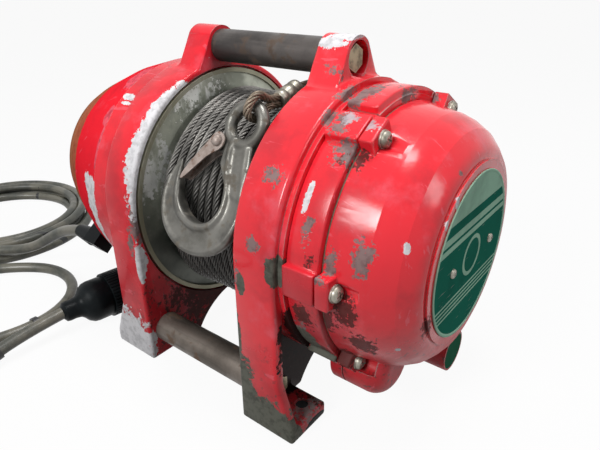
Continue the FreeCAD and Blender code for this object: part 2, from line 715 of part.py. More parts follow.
def motor():
    """The motor: cover, end bell, bulkhead, stator, rotor on the long shaft, brake and bearings."""
    step = "bell_wall"
    cover = turned("motor_cover", [
        ("-motor_start", "motor_seat_radius"), ("-cover_mid_reach", "cover_mid_radius"),
        ("-bell_start", "bell_radius"), ("-bell_start", f"bell_radius - {step}"),
        ("-stator_end - winding_overhang", "winding_outer"), ("-stator_end", "stator_radius + seat_fit"),
        ("-motor_start", "stator_radius + seat_fit")])
    bell = turned("bell_blank", [
        ("-bell_start", "bell_radius"), ("-bell_rim_reach", "bell_rim_radius"),
        ("-bell_reach", "bell_end_radius"), ("-bell_reach", "0"), ("-end_shaft_reach", "0"),
        ("-end_shaft_reach", "motor_bearing_radius + seat_fit"),
        ("-end_shaft_reach + motor_bearing_width", "motor_bearing_radius + seat_fit"),
        ("-end_shaft_reach + motor_bearing_width", "motor_hub_radius"), ("-bell_inside", "motor_hub_radius"),
        ("-bell_inside", "bell_end_radius - bell_wall"), ("-bell_rim_reach", "bell_rim_radius - 2 * bell_wall"),
        ("-bell_start", f"bell_radius - {step}")])
    bulkhead = turned("motor_bulkhead", [
        ("-bulkhead_start", "motor_bearing_radius + seat_fit"), ("-bulkhead_start", "seat_bore - seat_fit"),
        ("-motor_start", "seat_bore - seat_fit"), ("-motor_start", "motor_hub_radius"),
        ("-bulkhead_start - motor_bearing_width", "motor_hub_radius"),
        ("-bulkhead_start - motor_bearing_width", "motor_bearing_radius + seat_fit")])
    stator = ring("stator_core", "-stator_end", "-stator_start", "stator_bore", "stator_radius")
    windings = group("stator_windings", [
        ring("left_winding", "-stator_end - winding_overhang", "-stator_end", "winding_inner",
             "winding_outer - bolt_clearance"),
        ring("right_winding", "-stator_start", "-stator_start + winding_overhang", "winding_inner",
             "winding_outer")])
    bearings = group("motor_bearings", [
        ring("bell_bearing", "-end_shaft_reach", "-end_shaft_reach + motor_bearing_width",
             "motor_shaft_radius + running_fit", "motor_bearing_radius"),
        ring("bulkhead_bearing", "-bulkhead_start - motor_bearing_width", "-bulkhead_start",
             "motor_shaft_radius + running_fit", "motor_bearing_radius"),
        ring("cover_bearing", "end_bearing_start", "end_bearing_end", "pinion_journal_radius + running_fit",
             "small_bearing_radius")])
    shaft = turned("motor_shaft", [
        ("-end_shaft_reach + bolt_clearance", "0"), ("-end_shaft_reach + bolt_clearance", "motor_shaft_radius"),
        ("motor_gear_start - gear_side_gap / 2", "motor_shaft_radius"),
        ("motor_gear_start - gear_side_gap / 2", "pinion_journal_radius"),
        ("end_bearing_end", "pinion_journal_radius"), ("end_bearing_end", "0")])
    rotor = ring("rotor_core", "-stator_end", "-stator_start", "motor_shaft_radius + seat_fit",
                 "stator_bore - air_gap")
    disc_start = "-brake_face + brake_gap"
    disc = ring("brake_disc", disc_start, f"{disc_start} + brake_disc_thickness",
                "motor_shaft_radius + seat_fit", "brake_disc_radius")
    coil = ring("brake_coil_blank", "-bell_inside", "-brake_face", "brake_coil_bore", "brake_coil_radius")
    screws, screw_holes, bell_holes = [], [], []
    for number, angle in enumerate(BRAKE_SCREW_ANGLES):
        y, z = radial("brake_screw_circle", angle)
        tip = "-bell_reach + brake_screw_length"
        hole = "brake_screw_diameter / 2 + bolt_clearance"
        screws.append(fuse(f"brake_screw{number}", [
            rod(f"brake_screw_shank{number}", "brake_screw_diameter / 2", "-bell_reach", tip, y, z),
            rod(f"brake_screw_head{number}", "brake_screw_head_radius", "-bell_reach - brake_screw_head_height",
                "-bell_reach", y, z)]))
        screw_holes.append(rod(f"brake_coil_hole{number}", hole, "-bell_inside - 1", f"{tip} + 1", y, z))
        bell_holes.append(rod(f"bell_hole{number}", hole, "-bell_reach - 1", "-bell_inside + 1", y, z))
    drilled_bell = cut("motor_end_bell", bell, bell_holes)
    brake_coil = cut("brake_coil", coil, screw_holes)
    return [cover, drilled_bell, bulkhead, stator, windings, bearings, shaft, rotor, disc, brake_coil,
            group("brake_coil_screws", screws)]


def hook_frame():
    """The hook's own axes: X to its back, Y up its shank to the eye, Z out from the drum."""
    lean = Rotation(Vector(1, 0, 0), 90 - value("hook_lean_angle"))
    return lean.multiply(Rotation(Vector(0, 0, 1), -value("hook_tilt_angle")))


def on_hook(thing):
    return place(thing, "hook_place", "hook_y", "hook_z", hook_frame())


def disc(name, radius, u, v, low, high):
    """A round plate in the hook's own axes."""
    plate = bind(doc.addObject("Part::Cylinder", name), Radius=radius, Height=f"({high}) - ({low})")
    return place(plate, u, v, low)


def hook():
    """A forged eye hook, its riveted pin and spring, and the sheet latch across its throat."""
    half = "hook_thickness / 2"
    bowl = cut("hook_bowl", disc("hook_outer", "bowl_outer_radius", "1", "-bowl_drop", f"-{half}", half), [
        disc("hook_inner", "bowl_inner_radius", "0", "0", f"-{half} - 1", f"{half} + 1"),
        block("hook_throat", ("-2 * bowl_outer_radius", "bowl_inner_radius / 2"),
              ("1", "2 * bowl_outer_radius"), (f"-{half} - 1", f"{half} + 1"))])
    shank_points = [
        ("bowl_outer_radius - 1", "-bowl_drop"), ("eye_ring_radius + eye_bar_radius - 2", "eye_rise - 10"),
        ("-eye_ring_radius + 6", "eye_rise - 10"), ("latch_offset + 7", "latch_rise + 4"),
        ("latch_offset + 7", "latch_rise - 9"), ("bowl_inner_radius / 2 - 2", "bowl_inner_radius - 3"),
        ("bowl_inner_radius - 1", "bowl_inner_radius / 2"), ("bowl_inner_radius + 1", "-bowl_drop")]
    shank = prism("hook_shank", "XY_Plane", shank_points, "hook_thickness * 0.8", z="-hook_thickness * 0.4")
    eye = bind(doc.addObject("Part::Torus", "hook_eye"), Radius1="eye_ring_radius", Radius2="eye_bar_radius")
    place(eye, "0", "eye_rise", "0")
    eye_hole = disc("hook_eye_hole", "eye_ring_radius - eye_bar_radius / 2", "0", "eye_rise",
                    f"-{half} - 1", f"{half} + 1")
    eye_bar = bind(doc.addObject("Part::Cylinder", "hook_eye_bar"), Radius="eye_bar_radius + eye_bar_swell",
                   Height="2 * eye_bar_radius")
    place(eye_bar, "-eye_bar_radius", "eye_rise + eye_ring_radius", "0", Rotation(Vector(0, 1, 0), 90))
    ear_half = "latch_ear_thickness / 2"
    ear = fuse("hook_ear", [
        disc("hook_ear_round", "latch_ear_radius", "latch_offset", "latch_rise", f"-{ear_half}", ear_half),
        block("hook_ear_neck", ("latch_offset", "latch_offset + 8"), ("latch_rise - 4", "latch_rise + 4"),
              (f"-{ear_half}", ear_half))])
    trimmed_shank = cut("hook_trimmed_shank", shank, [eye_hole])
    body = cut("hook", fuse("hook_solid", [bowl, trimmed_shank, eye, eye_bar, ear]), [
        disc("hook_pin_hole", "latch_pin_radius + seat_fit", "latch_offset", "latch_rise", f"-{half}", half)])
    on_hook(body)

    outer = "(latch_inside / 2 + latch_sheet)"
    pin = fuse("latch_pin", [
        disc("latch_pin_shank", "latch_pin_radius", "latch_offset", "latch_rise",
             f"-{outer} - latch_sheet", f"{outer} + latch_sheet"),
        disc("latch_pin_front_head", "1.7 * latch_pin_radius", "latch_offset", "latch_rise",
             f"{outer} + bolt_clearance", f"{outer} + 1.5 * latch_sheet"),
        disc("latch_pin_back_head", "1.7 * latch_pin_radius", "latch_offset", "latch_rise",
             f"-{outer} - 1.5 * latch_sheet", f"-{outer} - bolt_clearance")])
    on_hook(pin)
    spring = cut("latch_spring", disc("latch_spring_coil", "latch_pin_radius + 1.6", "latch_offset", "latch_rise",
                                      f"{ear_half} + seat_fit", "latch_inside / 2 - seat_fit"),
                 [disc("latch_spring_bore", "latch_pin_radius + seat_fit", "latch_offset", "latch_rise",
                       "0", "latch_inside")])
    on_hook(spring)

    cheek = [("latch_offset - 4", "latch_rise + 4"), ("latch_offset + 4", "latch_rise + 4"),
             ("latch_offset + 5", "latch_rise - 5"), ("latch_offset - 6", "latch_rise - latch_reach"),
             ("latch_offset - 12", "latch_rise - latch_reach + 2"), ("latch_offset - 8", "latch_rise - 8")]
    plates = [prism(f"latch_{tag}_cheek", "XY_Plane", cheek, "latch_sheet", z=low)
              for tag, low in (("front", "latch_inside / 2"), ("back", "-latch_inside / 2 - latch_sheet"))]
    web = [cheek[3], cheek[4], ("latch_offset - 10", "latch_rise - 14"),
           ("latch_offset - 7", "latch_rise - 14")]
    plates.append(prism("latch_web", "XY_Plane", web, "latch_inside + latch_sheet",
                        z="-latch_inside / 2 - latch_sheet / 2"))
    latch = cut("hook_latch", fuse("latch_solid", plates), [
        disc("latch_hole", "latch_pin_radius + running_fit", "latch_offset", "latch_rise", f"-{outer} - 1",
             f"{outer} + 1")])
    on_hook(latch)
    return [body, pin, spring, latch]


def soft_tube(name, points, radius):
    """A flexible line: straight runs joined by tangent arcs as large as the runs allow."""
    runs = [b - a for a, b in zip(points, points[1:])]
    edges, radii, last = [], [], points[0]
    for corner, before, after in zip(points[1:], runs, runs[1:]):
        turn = before.getAngle(after)
        setback = 0.45 * min(before.Length, after.Length)
        along, onward = Vector(before).normalize(), Vector(after).normalize()
        entry, leave = corner - along * setback, corner + onward * setback
        bend = setback / math.tan(turn / 2)
        radii.append(bend)
        inward = (onward - along).normalize()
        middle = corner + inward * (bend / math.cos(turn / 2) - bend)
        edges += [Part.LineSegment(last, entry).toShape(), Part.Arc(entry, middle, leave).toShape()]
        last = leave
    edges.append(Part.LineSegment(last, points[-1]).toShape())
    path = Part.Wire(edges)
    section = Part.Wire(Part.Circle(points[0], runs[0], radius).toShape())
    tube = path.makePipeShell([section], True, False)
    expected = math.pi * radius ** 2 * path.Length
    print(f"{name}: length {path.Length:.0f}, radii {[round(r) for r in radii]}, "
          f"volume ratio {tube.Volume / expected:.4f}")
    return tube


def rope_end():
    """The rope's end: a loop through the hook's eye, its ferrule, and the lead back to the winding."""
    turn = hook_frame()
    origin = Vector(value("hook_place"), value("hook_y"), value("hook_z"))

    def from_hook(u, v, w):
        return origin + turn.multVec(Vector(u, v, w))

    radius = value("rope_radius")
    bar_top = value("eye_rise + eye_ring_radius")
    away = value("eye_bar_radius + eye_loop_gap") + radius

    def about_drum(circle, angle, x):
        tilt = math.radians(angle)
        return Vector(x, circle * math.sin(tilt), value("axis_height") + circle * math.cos(tilt))

    circle, angle, x = value("ferrule_circle"), value("ferrule_angle"), value("ferrule_place")
    centre = about_drum(circle, angle, x)
    tilt = math.radians(angle)
    forward = Vector(0, -math.cos(tilt), math.sin(tilt))
    outward = Vector(0, math.sin(tilt), math.cos(tilt))
    mouth = centre + forward * (value("ferrule_length") / 2)
    heel = centre - forward * (value("ferrule_length") / 2)
    apart = radius + 0.1
    start, finish = mouth - outward * apart, mouth + outward * apart
    loop = soft_tube("rope_loop", [
        start, from_hook(0, bar_top + 4, -away), from_hook(0, bar_top - away, -away),
        from_hook(0, bar_top - away, away), from_hook(0, bar_top + 9, away), finish + forward * 8, finish],
        radius)
    landing = value("winding_radius") + radius + value("rope_rest_gap")
    lead = soft_tube("rope_lead", [
        heel, about_drum(circle, angle + 19, x), about_drum((circle + landing) / 2, angle + 34, x - 2),
        about_drum(landing + 1, angle + 50, x - 5), about_drum(landing, angle + 66, x - 9)], radius)
    tail = doc.addObject("Part::Feature", "rope_tail")
    tail.Shape = Part.makeCompound([loop, lead])
    ferrule = bind(doc.addObject("Part::Cylinder", "rope_ferrule"), Radius="ferrule_radius",
                   Height="ferrule_length")
    y, z = radial("ferrule_circle", "ferrule_angle")
    place(ferrule, "ferrule_place", f"{y} + ferrule_length / 2 * cos(ferrule_angle)",
          f"{z} - ferrule_length / 2 * sin(ferrule_angle)", Rotation(Vector(0, 0, 1), forward))
    return [tail, ferrule]


def power_cord():
    """The gland on the motor cover, the cord with its loose coil on the floor, and the plug."""
    floor = value("cord_floor")
    radius = value("cord_radius")
    y, z = radial("cord_circle", "gland_angle")
    gland_face = "-gland_place - gland_length / 2"
    solid = fuse("gland_solid", [
        spoke("gland_block", (gland_face, "-gland_place + gland_length / 2"), "gland_width", "gland_inner",
              "gland_outer", "gland_angle"),
        place(bind(doc.addObject("Part::Cone", "gland_relief"), Radius1="relief_root_radius",
                   Radius2="relief_tip_radius", Height="relief_length"), gland_face, y, z,
              Rotation(Vector(0, 1, 0), -90))])
    skin = turned("gland_cut", [
        ("-motor_start", "0"), ("-motor_start", "motor_seat_radius + seat_fit"),
        ("-cover_mid_reach", "cover_mid_radius + seat_fit"), ("-bell_start", "bell_radius + seat_fit"),
        ("-bell_rim_reach", "bell_rim_radius + seat_fit"), ("-bell_rim_reach", "0")])
    gland = cut("cable_gland", solid, [skin])

    exit_point = Vector(value(f"{gland_face} - relief_length"), value(y), value(z))
    lead_points = [exit_point] + [Vector(*p) for p in (
        (-224, -74.8, 65), (-256, -77, 48), (-288, -86, 24), (-324, -104, 9), (-360, -132, floor))]
    lead = doc.addObject("Part::Feature", "cord_lead")
    lead.Shape = soft_tube("cord_lead", lead_points, radius)

    coil = ring("cord_coil", "floor_gap", "floor_gap + coil_height", "coil_radius - coil_band / 2",
                "coil_radius + coil_band / 2")
    for axis in "xyz":
        coil.setExpression("Placement.Base." + axis, None)
    place(coil, "coil_x", "coil_y", "0", Rotation(Vector(0, 1, 0), -90))

    heading = math.radians(value("plug_heading_angle"))
    ahead = Vector(math.sin(heading), math.cos(heading), 0)
    plug_axis = "plug_collar_radius + floor_gap"
    rear = Vector(value("plug_x"), value("plug_y"), value(plug_axis))
    tail_points = [Vector(x, y, floor) for x, y in (
        (-390, -150), (-429, -172), (-477, -208), (-493, -255), (-477, -303), (-437, -332), (-387, -332),
        (-347, -303), (-326, -257), (-330, -180), (-322, -128), (-294, -98), (-263, -80), (-227, -80),
        (-196, -98), (-178, -129), (-178, -165), (-191, -199), (-222, -232), (-260, -262), (-273, -308),
        (-257, -353), (-217, -380), (-169, -378), (-131, -349), (-118, -303), (-134, -258))]
    tail_points += [Vector(-155, -214, floor + 2), rear - ahead * 40 + Vector(0, 0, -5), rear]
    tail = doc.addObject("Part::Feature", "cord_tail")
    tail.Shape = soft_tube("cord_tail", tail_points, radius)

    boot = "plug_boot_length"
    body_end = f"{boot} + plug_body_length"
    collar_end = f"{body_end} + plug_collar_length"
    heading_turn = Rotation(Vector(0, 0, 1), 90 - value("plug_heading_angle"))
    body = turned("plug_body", [
        ("0", "0"), ("0", "plug_boot_radius"), (boot, "plug_waist_radius"), (body_end, "plug_body_radius"),
        (collar_end, "plug_body_radius"), (collar_end, "0")])
    collar = ring("plug_collar", body_end, f"{collar_end} - plug_wall", "plug_body_radius + seat_fit",
                  "plug_collar_radius")
    pins = []
    for number, side in enumerate((-1, 1)):
        pins.append(block(f"plug_pin{number}", (collar_end, f"{collar_end} + pin_length"),
                          ("-pin_width / 2", "pin_width / 2"),
                          (f"{side} * pin_spacing / 2 - pin_thickness / 2",
                           f"{side} * pin_spacing / 2 + pin_thickness / 2")))
    pin_pair = group("plug_pins", pins)
    for piece in (body, collar, pin_pair):
        place(piece, "plug_x", "plug_y", plug_axis, heading_turn)

    bands = []
    for number, (start, end) in enumerate(((15, 16), (27, 28))):
        middle = (tail_points[start] + tail_points[end]) * 0.5
        along = (tail_points[end] - tail_points[start]).normalize()
        width = value("tie_band_width")
        band_radius = radius + value("tie_band_thickness")
        outer = Part.makeCylinder(band_radius, width, middle - along * (width / 2), along)
        inner = Part.makeCylinder(radius + value("seat_fit"), width * 2, middle - along * width, along)
        above = Part.makeBox(200, 200, 200, middle - Vector(100, 100, middle.z - value("floor_gap") / 2))
        bands.append(outer.cut(inner).common(above))
    ties = doc.addObject("Part::Feature", "cable_ties")
    ties.Shape = Part.makeCompound(bands)
    return [gland, lead, coil, tail, body, collar, pin_pair, ties]


nodes = [
    frame("motor_side_frame", MOTOR_SIDE, "motor_seat_radius", "motor_seat_reach", ()),
    frame("gear_side_frame", GEAR_SIDE, "gear_seat_radius", "gear_seat_reach", COVER_SCREW_ANGLES)]
for maker in (tie_fasteners, drum, gear_train, gear_casing, motor, hook, rope_end, power_cord):
    nodes += maker()
doc.recompute()

failed = [o.Label for o in doc.Objects if {"Invalid", "Error"} & set(o.State)]
failed += [n.Label for n in nodes if n.Shape.isNull() or not n.Shape.isValid()]
if failed:
    raise SystemExit(f"failed to build: {failed}")
if len({n.Label for n in nodes}) != len(nodes):
    raise SystemExit("two sub-parts share a label")
os.makedirs("parts", exist_ok=True)
for node in nodes:
    node.Shape.exportStep(f"parts/{node.Label}.step")
print(f"{len(nodes)} sub-parts written")
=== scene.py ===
# %% [markdown]
# # A worn electric winch
# Two red castings carry a rope drum between a motor on the left and a gear case on the right. The packed
# frame gives every piece its size and place. This lesson dresses it: worn enamel, greasy wire rope, a forged
# hook, and a power cord that lies in loose turns on the floor.

# %% Load the frame
import math
import bpy
from mathutils import Matrix, Vector


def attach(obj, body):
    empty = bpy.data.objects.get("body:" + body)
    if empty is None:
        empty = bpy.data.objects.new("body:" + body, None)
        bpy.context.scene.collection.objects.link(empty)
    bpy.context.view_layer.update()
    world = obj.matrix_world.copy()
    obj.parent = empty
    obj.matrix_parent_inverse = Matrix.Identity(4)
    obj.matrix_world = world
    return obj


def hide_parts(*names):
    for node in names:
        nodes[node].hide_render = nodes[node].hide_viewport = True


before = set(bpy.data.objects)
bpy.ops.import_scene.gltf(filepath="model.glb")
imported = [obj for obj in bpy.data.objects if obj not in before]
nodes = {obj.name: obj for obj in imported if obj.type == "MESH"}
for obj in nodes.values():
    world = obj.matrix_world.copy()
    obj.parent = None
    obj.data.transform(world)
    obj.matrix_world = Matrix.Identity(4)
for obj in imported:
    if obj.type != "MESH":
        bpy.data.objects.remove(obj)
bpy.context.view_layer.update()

MM = 0.001
DRUM_AXIS = 133 * MM
MERGE_REACH = 0.02 * MM
print("loaded", len(nodes), "nodes")

# %% [markdown]
# ## Small tools
# These short steps come up in most of the pieces below.

# %% Small tools
def add_object(name, data):
    thing = bpy.data.objects.new(name, data)
    bpy.context.scene.collection.objects.link(thing)
    return thing


def set_mode(mode):
    bpy.ops.object.mode_set(mode=mode)


def select_nothing():
    bpy.ops.object.select_all(action="DESELECT")


def pick(piece):
    """Makes one piece the only selected and active one."""
    if bpy.context.object and bpy.context.object.mode != "OBJECT":
        set_mode("OBJECT")
    select_nothing()
    piece.select_set(True)
    bpy.context.view_layer.objects.active = piece


def apply_place(piece):
    pick(piece)
    bpy.ops.object.transform_apply(location=True, rotation=True, scale=True)


def apply_all(piece):
    """Applies every modifier of a piece."""
    pick(piece)
    for modifier in [m.name for m in piece.modifiers]:
        bpy.ops.object.modifier_apply(modifier=modifier)


def soften(piece, width_mm):
    """Bevels the sharp edges of a piece."""
    bevel = piece.modifiers.new("soft", "BEVEL")
    bevel.width, bevel.segments, bevel.limit_method = width_mm * MM, 2, "ANGLE"
    apply_all(piece)
    return piece


def add_spline(data, kind, places):
    """One line of a curve, with a point at each place."""
    spline = data.splines.new(kind)
    spline.points.add(len(places) - 1)
    for point, place in zip(spline.points, places):
        point.co = (*place, 1)
    return spline


def as_mesh(name, data):
    """A curve as a mesh object."""
    pick(add_object(name, data))
    bpy.ops.object.convert(target="MESH")
    return bpy.context.object


print("small tools ready")

# %% [markdown]
# ## Camera
# The photograph looks down on the gear side from the front right. The camera's place, turn and lens were
# worked out from circles that show as ellipses, so it is set by numbers and not by eye.

# %% Camera
CAMERA_PLACE = Vector((277.6, -322.4, 307.3)) * MM
CAMERA_AZIMUTH, CAMERA_ELEVATION, CAMERA_ROLL = (math.radians(a) for a in (37.96, 25.44, 0.39))
PHOTO_WIDTH_PX, FOCAL_PX, SENSOR_MM = 600, 534.47, 36


def add_camera():
    bpy.ops.object.camera_add(location=CAMERA_PLACE)
    camera = bpy.context.object
    turn = (Matrix.Rotation(CAMERA_AZIMUTH, 4, "Z") @ Matrix.Rotation(math.pi / 2 - CAMERA_ELEVATION, 4, "X")
            @ Matrix.Rotation(-CAMERA_ROLL, 4, "Z"))
    camera.rotation_euler = turn.to_euler()
    camera.data.sensor_width = SENSOR_MM
    camera.data.lens = FOCAL_PX / PHOTO_WIDTH_PX * SENSOR_MM
    camera.data.clip_start = 0.01
    bpy.context.scene.camera = camera
    return camera


print("lens", round(add_camera().data.lens, 2), "mm")

# %% [markdown]
# ## Cord
# A rubber mains lead of about 4.6 m leaves the gland on the motor, drops to the floor, lies there in a loose
# coil and comes back in two open loops to its plug. It is one NURBS curve: the route's own points, with the
# coil's turns worked out by a loop between them. The turns lie in two layers, inwards on top and outwards
# below, and fan out on one side as untied turns do.

# %% Cord
CORD_DIAMETER = 11 * MM
CORD_FLOOR = CORD_DIAMETER / 2 + 0.3 * MM
COIL_CENTRE = Vector((-437, -50)) * MM
GLAND_EXIT = Vector((-198, -74.3, 70.6)) * MM
LEAD_ROUTE_MM = ((-224, -74.8, 65), (-256, -77, 48), (-288, -86, 27), (-324, -104, 19))
TAIL_ROUTE_MM = (
    (-390, -150), (-429, -172), (-477, -208), (-493, -255), (-477, -303), (-437, -332), (-387, -332),
    (-347, -303), (-326, -257), (-330, -180), (-322, -128), (-294, -98), (-263, -80), (-227, -80),
    (-196, -98), (-178, -129), (-178, -165), (-191, -199), (-222, -232), (-260, -262), (-273, -308),
    (-257, -353), (-217, -380), (-169, -378), (-131, -349), (-118, -303), (-134, -258))
PLUG_REAR = Vector((-150, -132, 22.3)) * MM
PLUG_AHEAD = Vector((math.sin(math.radians(8)), math.cos(math.radians(8)), 0))
COIL_POINTS_PER_TURN = 16
COIL_ENTRY_DEG, COIL_SWEEP_DEG = -47, 18 + 5 * 360
COIL_TOP_END_DEG, COIL_DROP_END_DEG = 720, 900
COIL_OUTER, COIL_INNER, COIL_LOW_START, COIL_LOW_STEP = 113, 90, 86, 12.2   # radii in mm
COIL_SQUASH, COIL_SQUASH_PHASE = 0.05, 0.8


def coil_turns():
    """The coil's points, clockwise from above: two turns inwards on top, a drop, two and a half turns out."""
    points = []
    entry, total = math.radians(COIL_ENTRY_DEG), math.radians(COIL_SWEEP_DEG)
    top_end, drop_end = math.radians(COIL_TOP_END_DEG), math.radians(COIL_DROP_END_DEG)
    count = int(total / (2 * math.pi) * COIL_POINTS_PER_TURN)
    top_height = CORD_FLOOR + CORD_DIAMETER
    for k in range(1, count):
        gone = total * k / count
        angle = entry - gone
        if gone < top_end:
            radius, height = COIL_OUTER - (COIL_OUTER - COIL_INNER) * gone / top_end, top_height
        elif gone < drop_end:
            share = (gone - top_end) / (drop_end - top_end)
            radius = COIL_INNER - (COIL_INNER - COIL_LOW_START) * share - 3 * math.sin(math.pi * share)
            height = top_height - CORD_DIAMETER * share
        else:
            radius = COIL_LOW_START + COIL_LOW_STEP * (gone - drop_end) / (2 * math.pi)
            height = CORD_FLOOR
        radius *= 1 + COIL_SQUASH * math.cos(2 * angle + COIL_SQUASH_PHASE)
        points.append(Vector((COIL_CENTRE.x + radius * MM * math.cos(angle),
                              COIL_CENTRE.y + radius * MM * math.sin(angle), height)))
    return points


def nurbs_line(name, points, bevel_radius, resolution=6):
    """A smooth line with the route's points as its control points."""
    data = bpy.data.curves.new(name, "CURVE")
    data.dimensions = "3D"
    spline = add_spline(data, "NURBS", points)
    spline.order_u = 3
    spline.use_endpoint_u = True
    spline.resolution_u = resolution
    data.bevel_depth = bevel_radius
    data.bevel_resolution = 5
    data.use_fill_caps = True
    return add_object(name, data)


def line_points(line):
    """Points along the drawn line, read from the curve with its bevel off for a moment."""
    depth, line.data.bevel_depth = line.data.bevel_depth, 0
    mesh = bpy.data.meshes.new_from_object(line.evaluated_get(bpy.context.evaluated_depsgraph_get()))
    line.data.bevel_depth = depth
    places = [v.co.copy() for v in mesh.vertices]
    bpy.data.meshes.remove(mesh)
    return places


def run_length(places):
    return sum((b - a).length for a, b in zip(places, places[1:]))


def add_cord():
    route = [GLAND_EXIT] + [Vector(p) * MM for p in LEAD_ROUTE_MM] + coil_turns()
    route += [Vector((x * MM, y * MM, CORD_FLOOR)) for x, y in TAIL_ROUTE_MM]
    route += [Vector((-155 * MM, -214 * MM, CORD_FLOOR + 2 * MM)),
              PLUG_REAR - PLUG_AHEAD * 40 * MM - Vector((0, 0, 5 * MM)), PLUG_REAR]
    return nurbs_line("power_cord", route, CORD_DIAMETER / 2)


cord = add_cord()
cord_length = run_length(line_points(cord))
print("cord", round(cord_length, 3), "m")

# %% [markdown]
# ## Shader tools
# A finish is a stack of masks, from blotches and rubbed edges to grime and chips. Each mask is a node group,
# built once here and placed in every finish with its own values. A group gives only a mask; the shader stays
# in the finish.

# %% Shader tools
VECTOR_SOCKETS = ("Vector", "Centre", "Radii", "Turn", "Stretch")


def feed(tree, socket, value):
    """Links a socket to another one, or sets its value."""
    if isinstance(value, bpy.types.NodeSocket):
        tree.links.new(value, socket)
    else:
        socket.default_value = value


def add_node(tree, kind, inputs=(), **settings):
    """One shader node. Settings are its own choices; inputs fills its sockets with values or links."""
    node = tree.nodes.new("ShaderNode" + kind)
    for name, value in settings.items():
        setattr(node, name, value)
    for key, value in dict(inputs).items():
        feed(tree, node.inputs[key], value)
    return node


def arithmetic(tree, operation, a, b=0.0):
    return add_node(tree, "Math", {0: a, 1: b}, operation=operation).outputs[0]


def times(tree, a, b):
    return arithmetic(tree, "MULTIPLY", a, b)


def less(tree, a, b):
    return arithmetic(tree, "SUBTRACT", a, b)


def noise(tree, place, scale, detail, roughness=0.5):
    inputs = {"Vector": place, "Scale": scale, "Detail": detail, "Roughness": roughness}
    return add_node(tree, "TexNoise", inputs).outputs[0]


def layer(tree, mask, under, over):
    """One colour over another by a mask."""
    under, over = ((*c, 1) if isinstance(c, tuple) else c for c in (under, over))
    return add_node(tree, "Mix", {0: mask, 6: under, 7: over}, data_type="RGBA").outputs[2]


def tint(tree, colour, mask, share, over):
    """A share of another colour over a colour by a mask."""
    return layer(tree, times(tree, mask, share), colour, over)


def level(tree, mask, under, over):
    """One value giving way to another by a mask."""
    return add_node(tree, "Mix", {0: mask, 2: under, 3: over}, data_type="FLOAT").outputs[0]


def between(tree, value, low, high):
    """A smooth step from 0 at low to 1 at high."""
    return add_node(tree, "MapRange", {"Value": value, "From Min": low, "From Max": high},
                    interpolation_type="SMOOTHSTEP").outputs[0]


def from_axis(tree, place):
    """How far a place is from the drum's axis, and how far above it."""
    axes = add_node(tree, "SeparateXYZ", {0: place}).outputs
    up = less(tree, axes["Z"], DRUM_AXIS)
    squares = arithmetic(tree, "ADD", arithmetic(tree, "POWER", axes["Y"], 2.0), times(tree, up, up))
    return arithmetic(tree, "SQRT", squares), up


def new_group(name, sockets):
    """A mask group: its tree, its input sockets and the mask it gives."""
    tree = bpy.data.node_groups.new(name, "ShaderNodeTree")
    for label in sockets.split():
        kind = "Vector" if label in VECTOR_SOCKETS else "Float"
        tree.interface.new_socket(label, in_out="INPUT", socket_type="NodeSocket" + kind)
    tree.interface.new_socket("Mask", in_out="OUTPUT", socket_type="NodeSocketFloat")
    return tree, tree.nodes.new("NodeGroupInput").outputs, tree.nodes.new("NodeGroupOutput").inputs["Mask"]


def mask_of(tree, group, place, **inputs):
    """A group placed in a finish with its own values."""
    node = tree.nodes.new("ShaderNodeGroup")
    node.node_tree = group
    for key, value in dict(inputs, Vector=place).items():
        feed(tree, node.inputs[key], value)
    return node.outputs["Mask"]


print("shader tools ready")

# %% Mask groups
def blotch_group():
    """Soft clouds: above Level the noise shows, over a width of Softness."""
    tree, given, mask = new_group("blotches", "Vector Scale Level Softness")
    cloud = noise(tree, given["Vector"], given["Scale"], 5.0, 0.62)
    top = arithmetic(tree, "ADD", given["Level"], given["Softness"])
    tree.links.new(between(tree, cloud, given["Level"], top), mask)
    return tree


def edge_group():
    """Rubbed edges: where the rounded normal leaves the true one, broken up by noise."""
    tree, given, mask = new_group("rubbed_edges", "Vector Width Scale Level")
    soft = add_node(tree, "Bevel", {"Radius": given["Width"]}, samples=6)
    true = add_node(tree, "NewGeometry")
    dot = add_node(tree, "VectorMath", {0: soft.outputs[0], 1: true.outputs["Normal"]},
                   operation="DOT_PRODUCT")
    bend = times(tree, less(tree, 1.0, dot.outputs["Value"]), 5.0)
    worn = times(tree, bend, noise(tree, given["Vector"], given["Scale"], 4.0, 0.6))
    top = arithmetic(tree, "ADD", given["Level"], 0.15)
    tree.links.new(between(tree, worn, given["Level"], top), mask)
    return tree


def patch_group():
    """One worn patch: an ellipsoid about Centre with a ragged border that breaks up into specks."""
    tree, given, mask = new_group("worn_patch", "Vector Centre Radii Turn Ragged Scale Softness")
    place, scale = given["Vector"], given["Scale"]
    away = add_node(tree, "VectorMath", {0: place, 1: given["Centre"]}, operation="SUBTRACT")
    turned = add_node(tree, "VectorRotate", {"Vector": away.outputs[0], "Rotation": given["Turn"]},
                      rotation_type="EULER_XYZ", invert=True)
    share = add_node(tree, "VectorMath", {0: turned.outputs[0], 1: given["Radii"]}, operation="DIVIDE")
    reach = add_node(tree, "VectorMath", {0: share.outputs[0]}, operation="LENGTH").outputs["Value"]
    rough = times(tree, less(tree, noise(tree, place, scale, 9.0, 0.72), 0.5), given["Ragged"])
    edge = arithmetic(tree, "ADD", reach, rough)
    soft = less(tree, 1.0, between(tree, edge, less(tree, 1.0, given["Softness"]), 1.0))
    fine = noise(tree, place, times(tree, scale, 3.5), 6.0, 0.7)
    specks = times(tree, between(tree, fine, 0.3, 0.7), 0.9)
    tree.links.new(between(tree, less(tree, soft, specks), 0.0, 0.16), mask)
    return tree


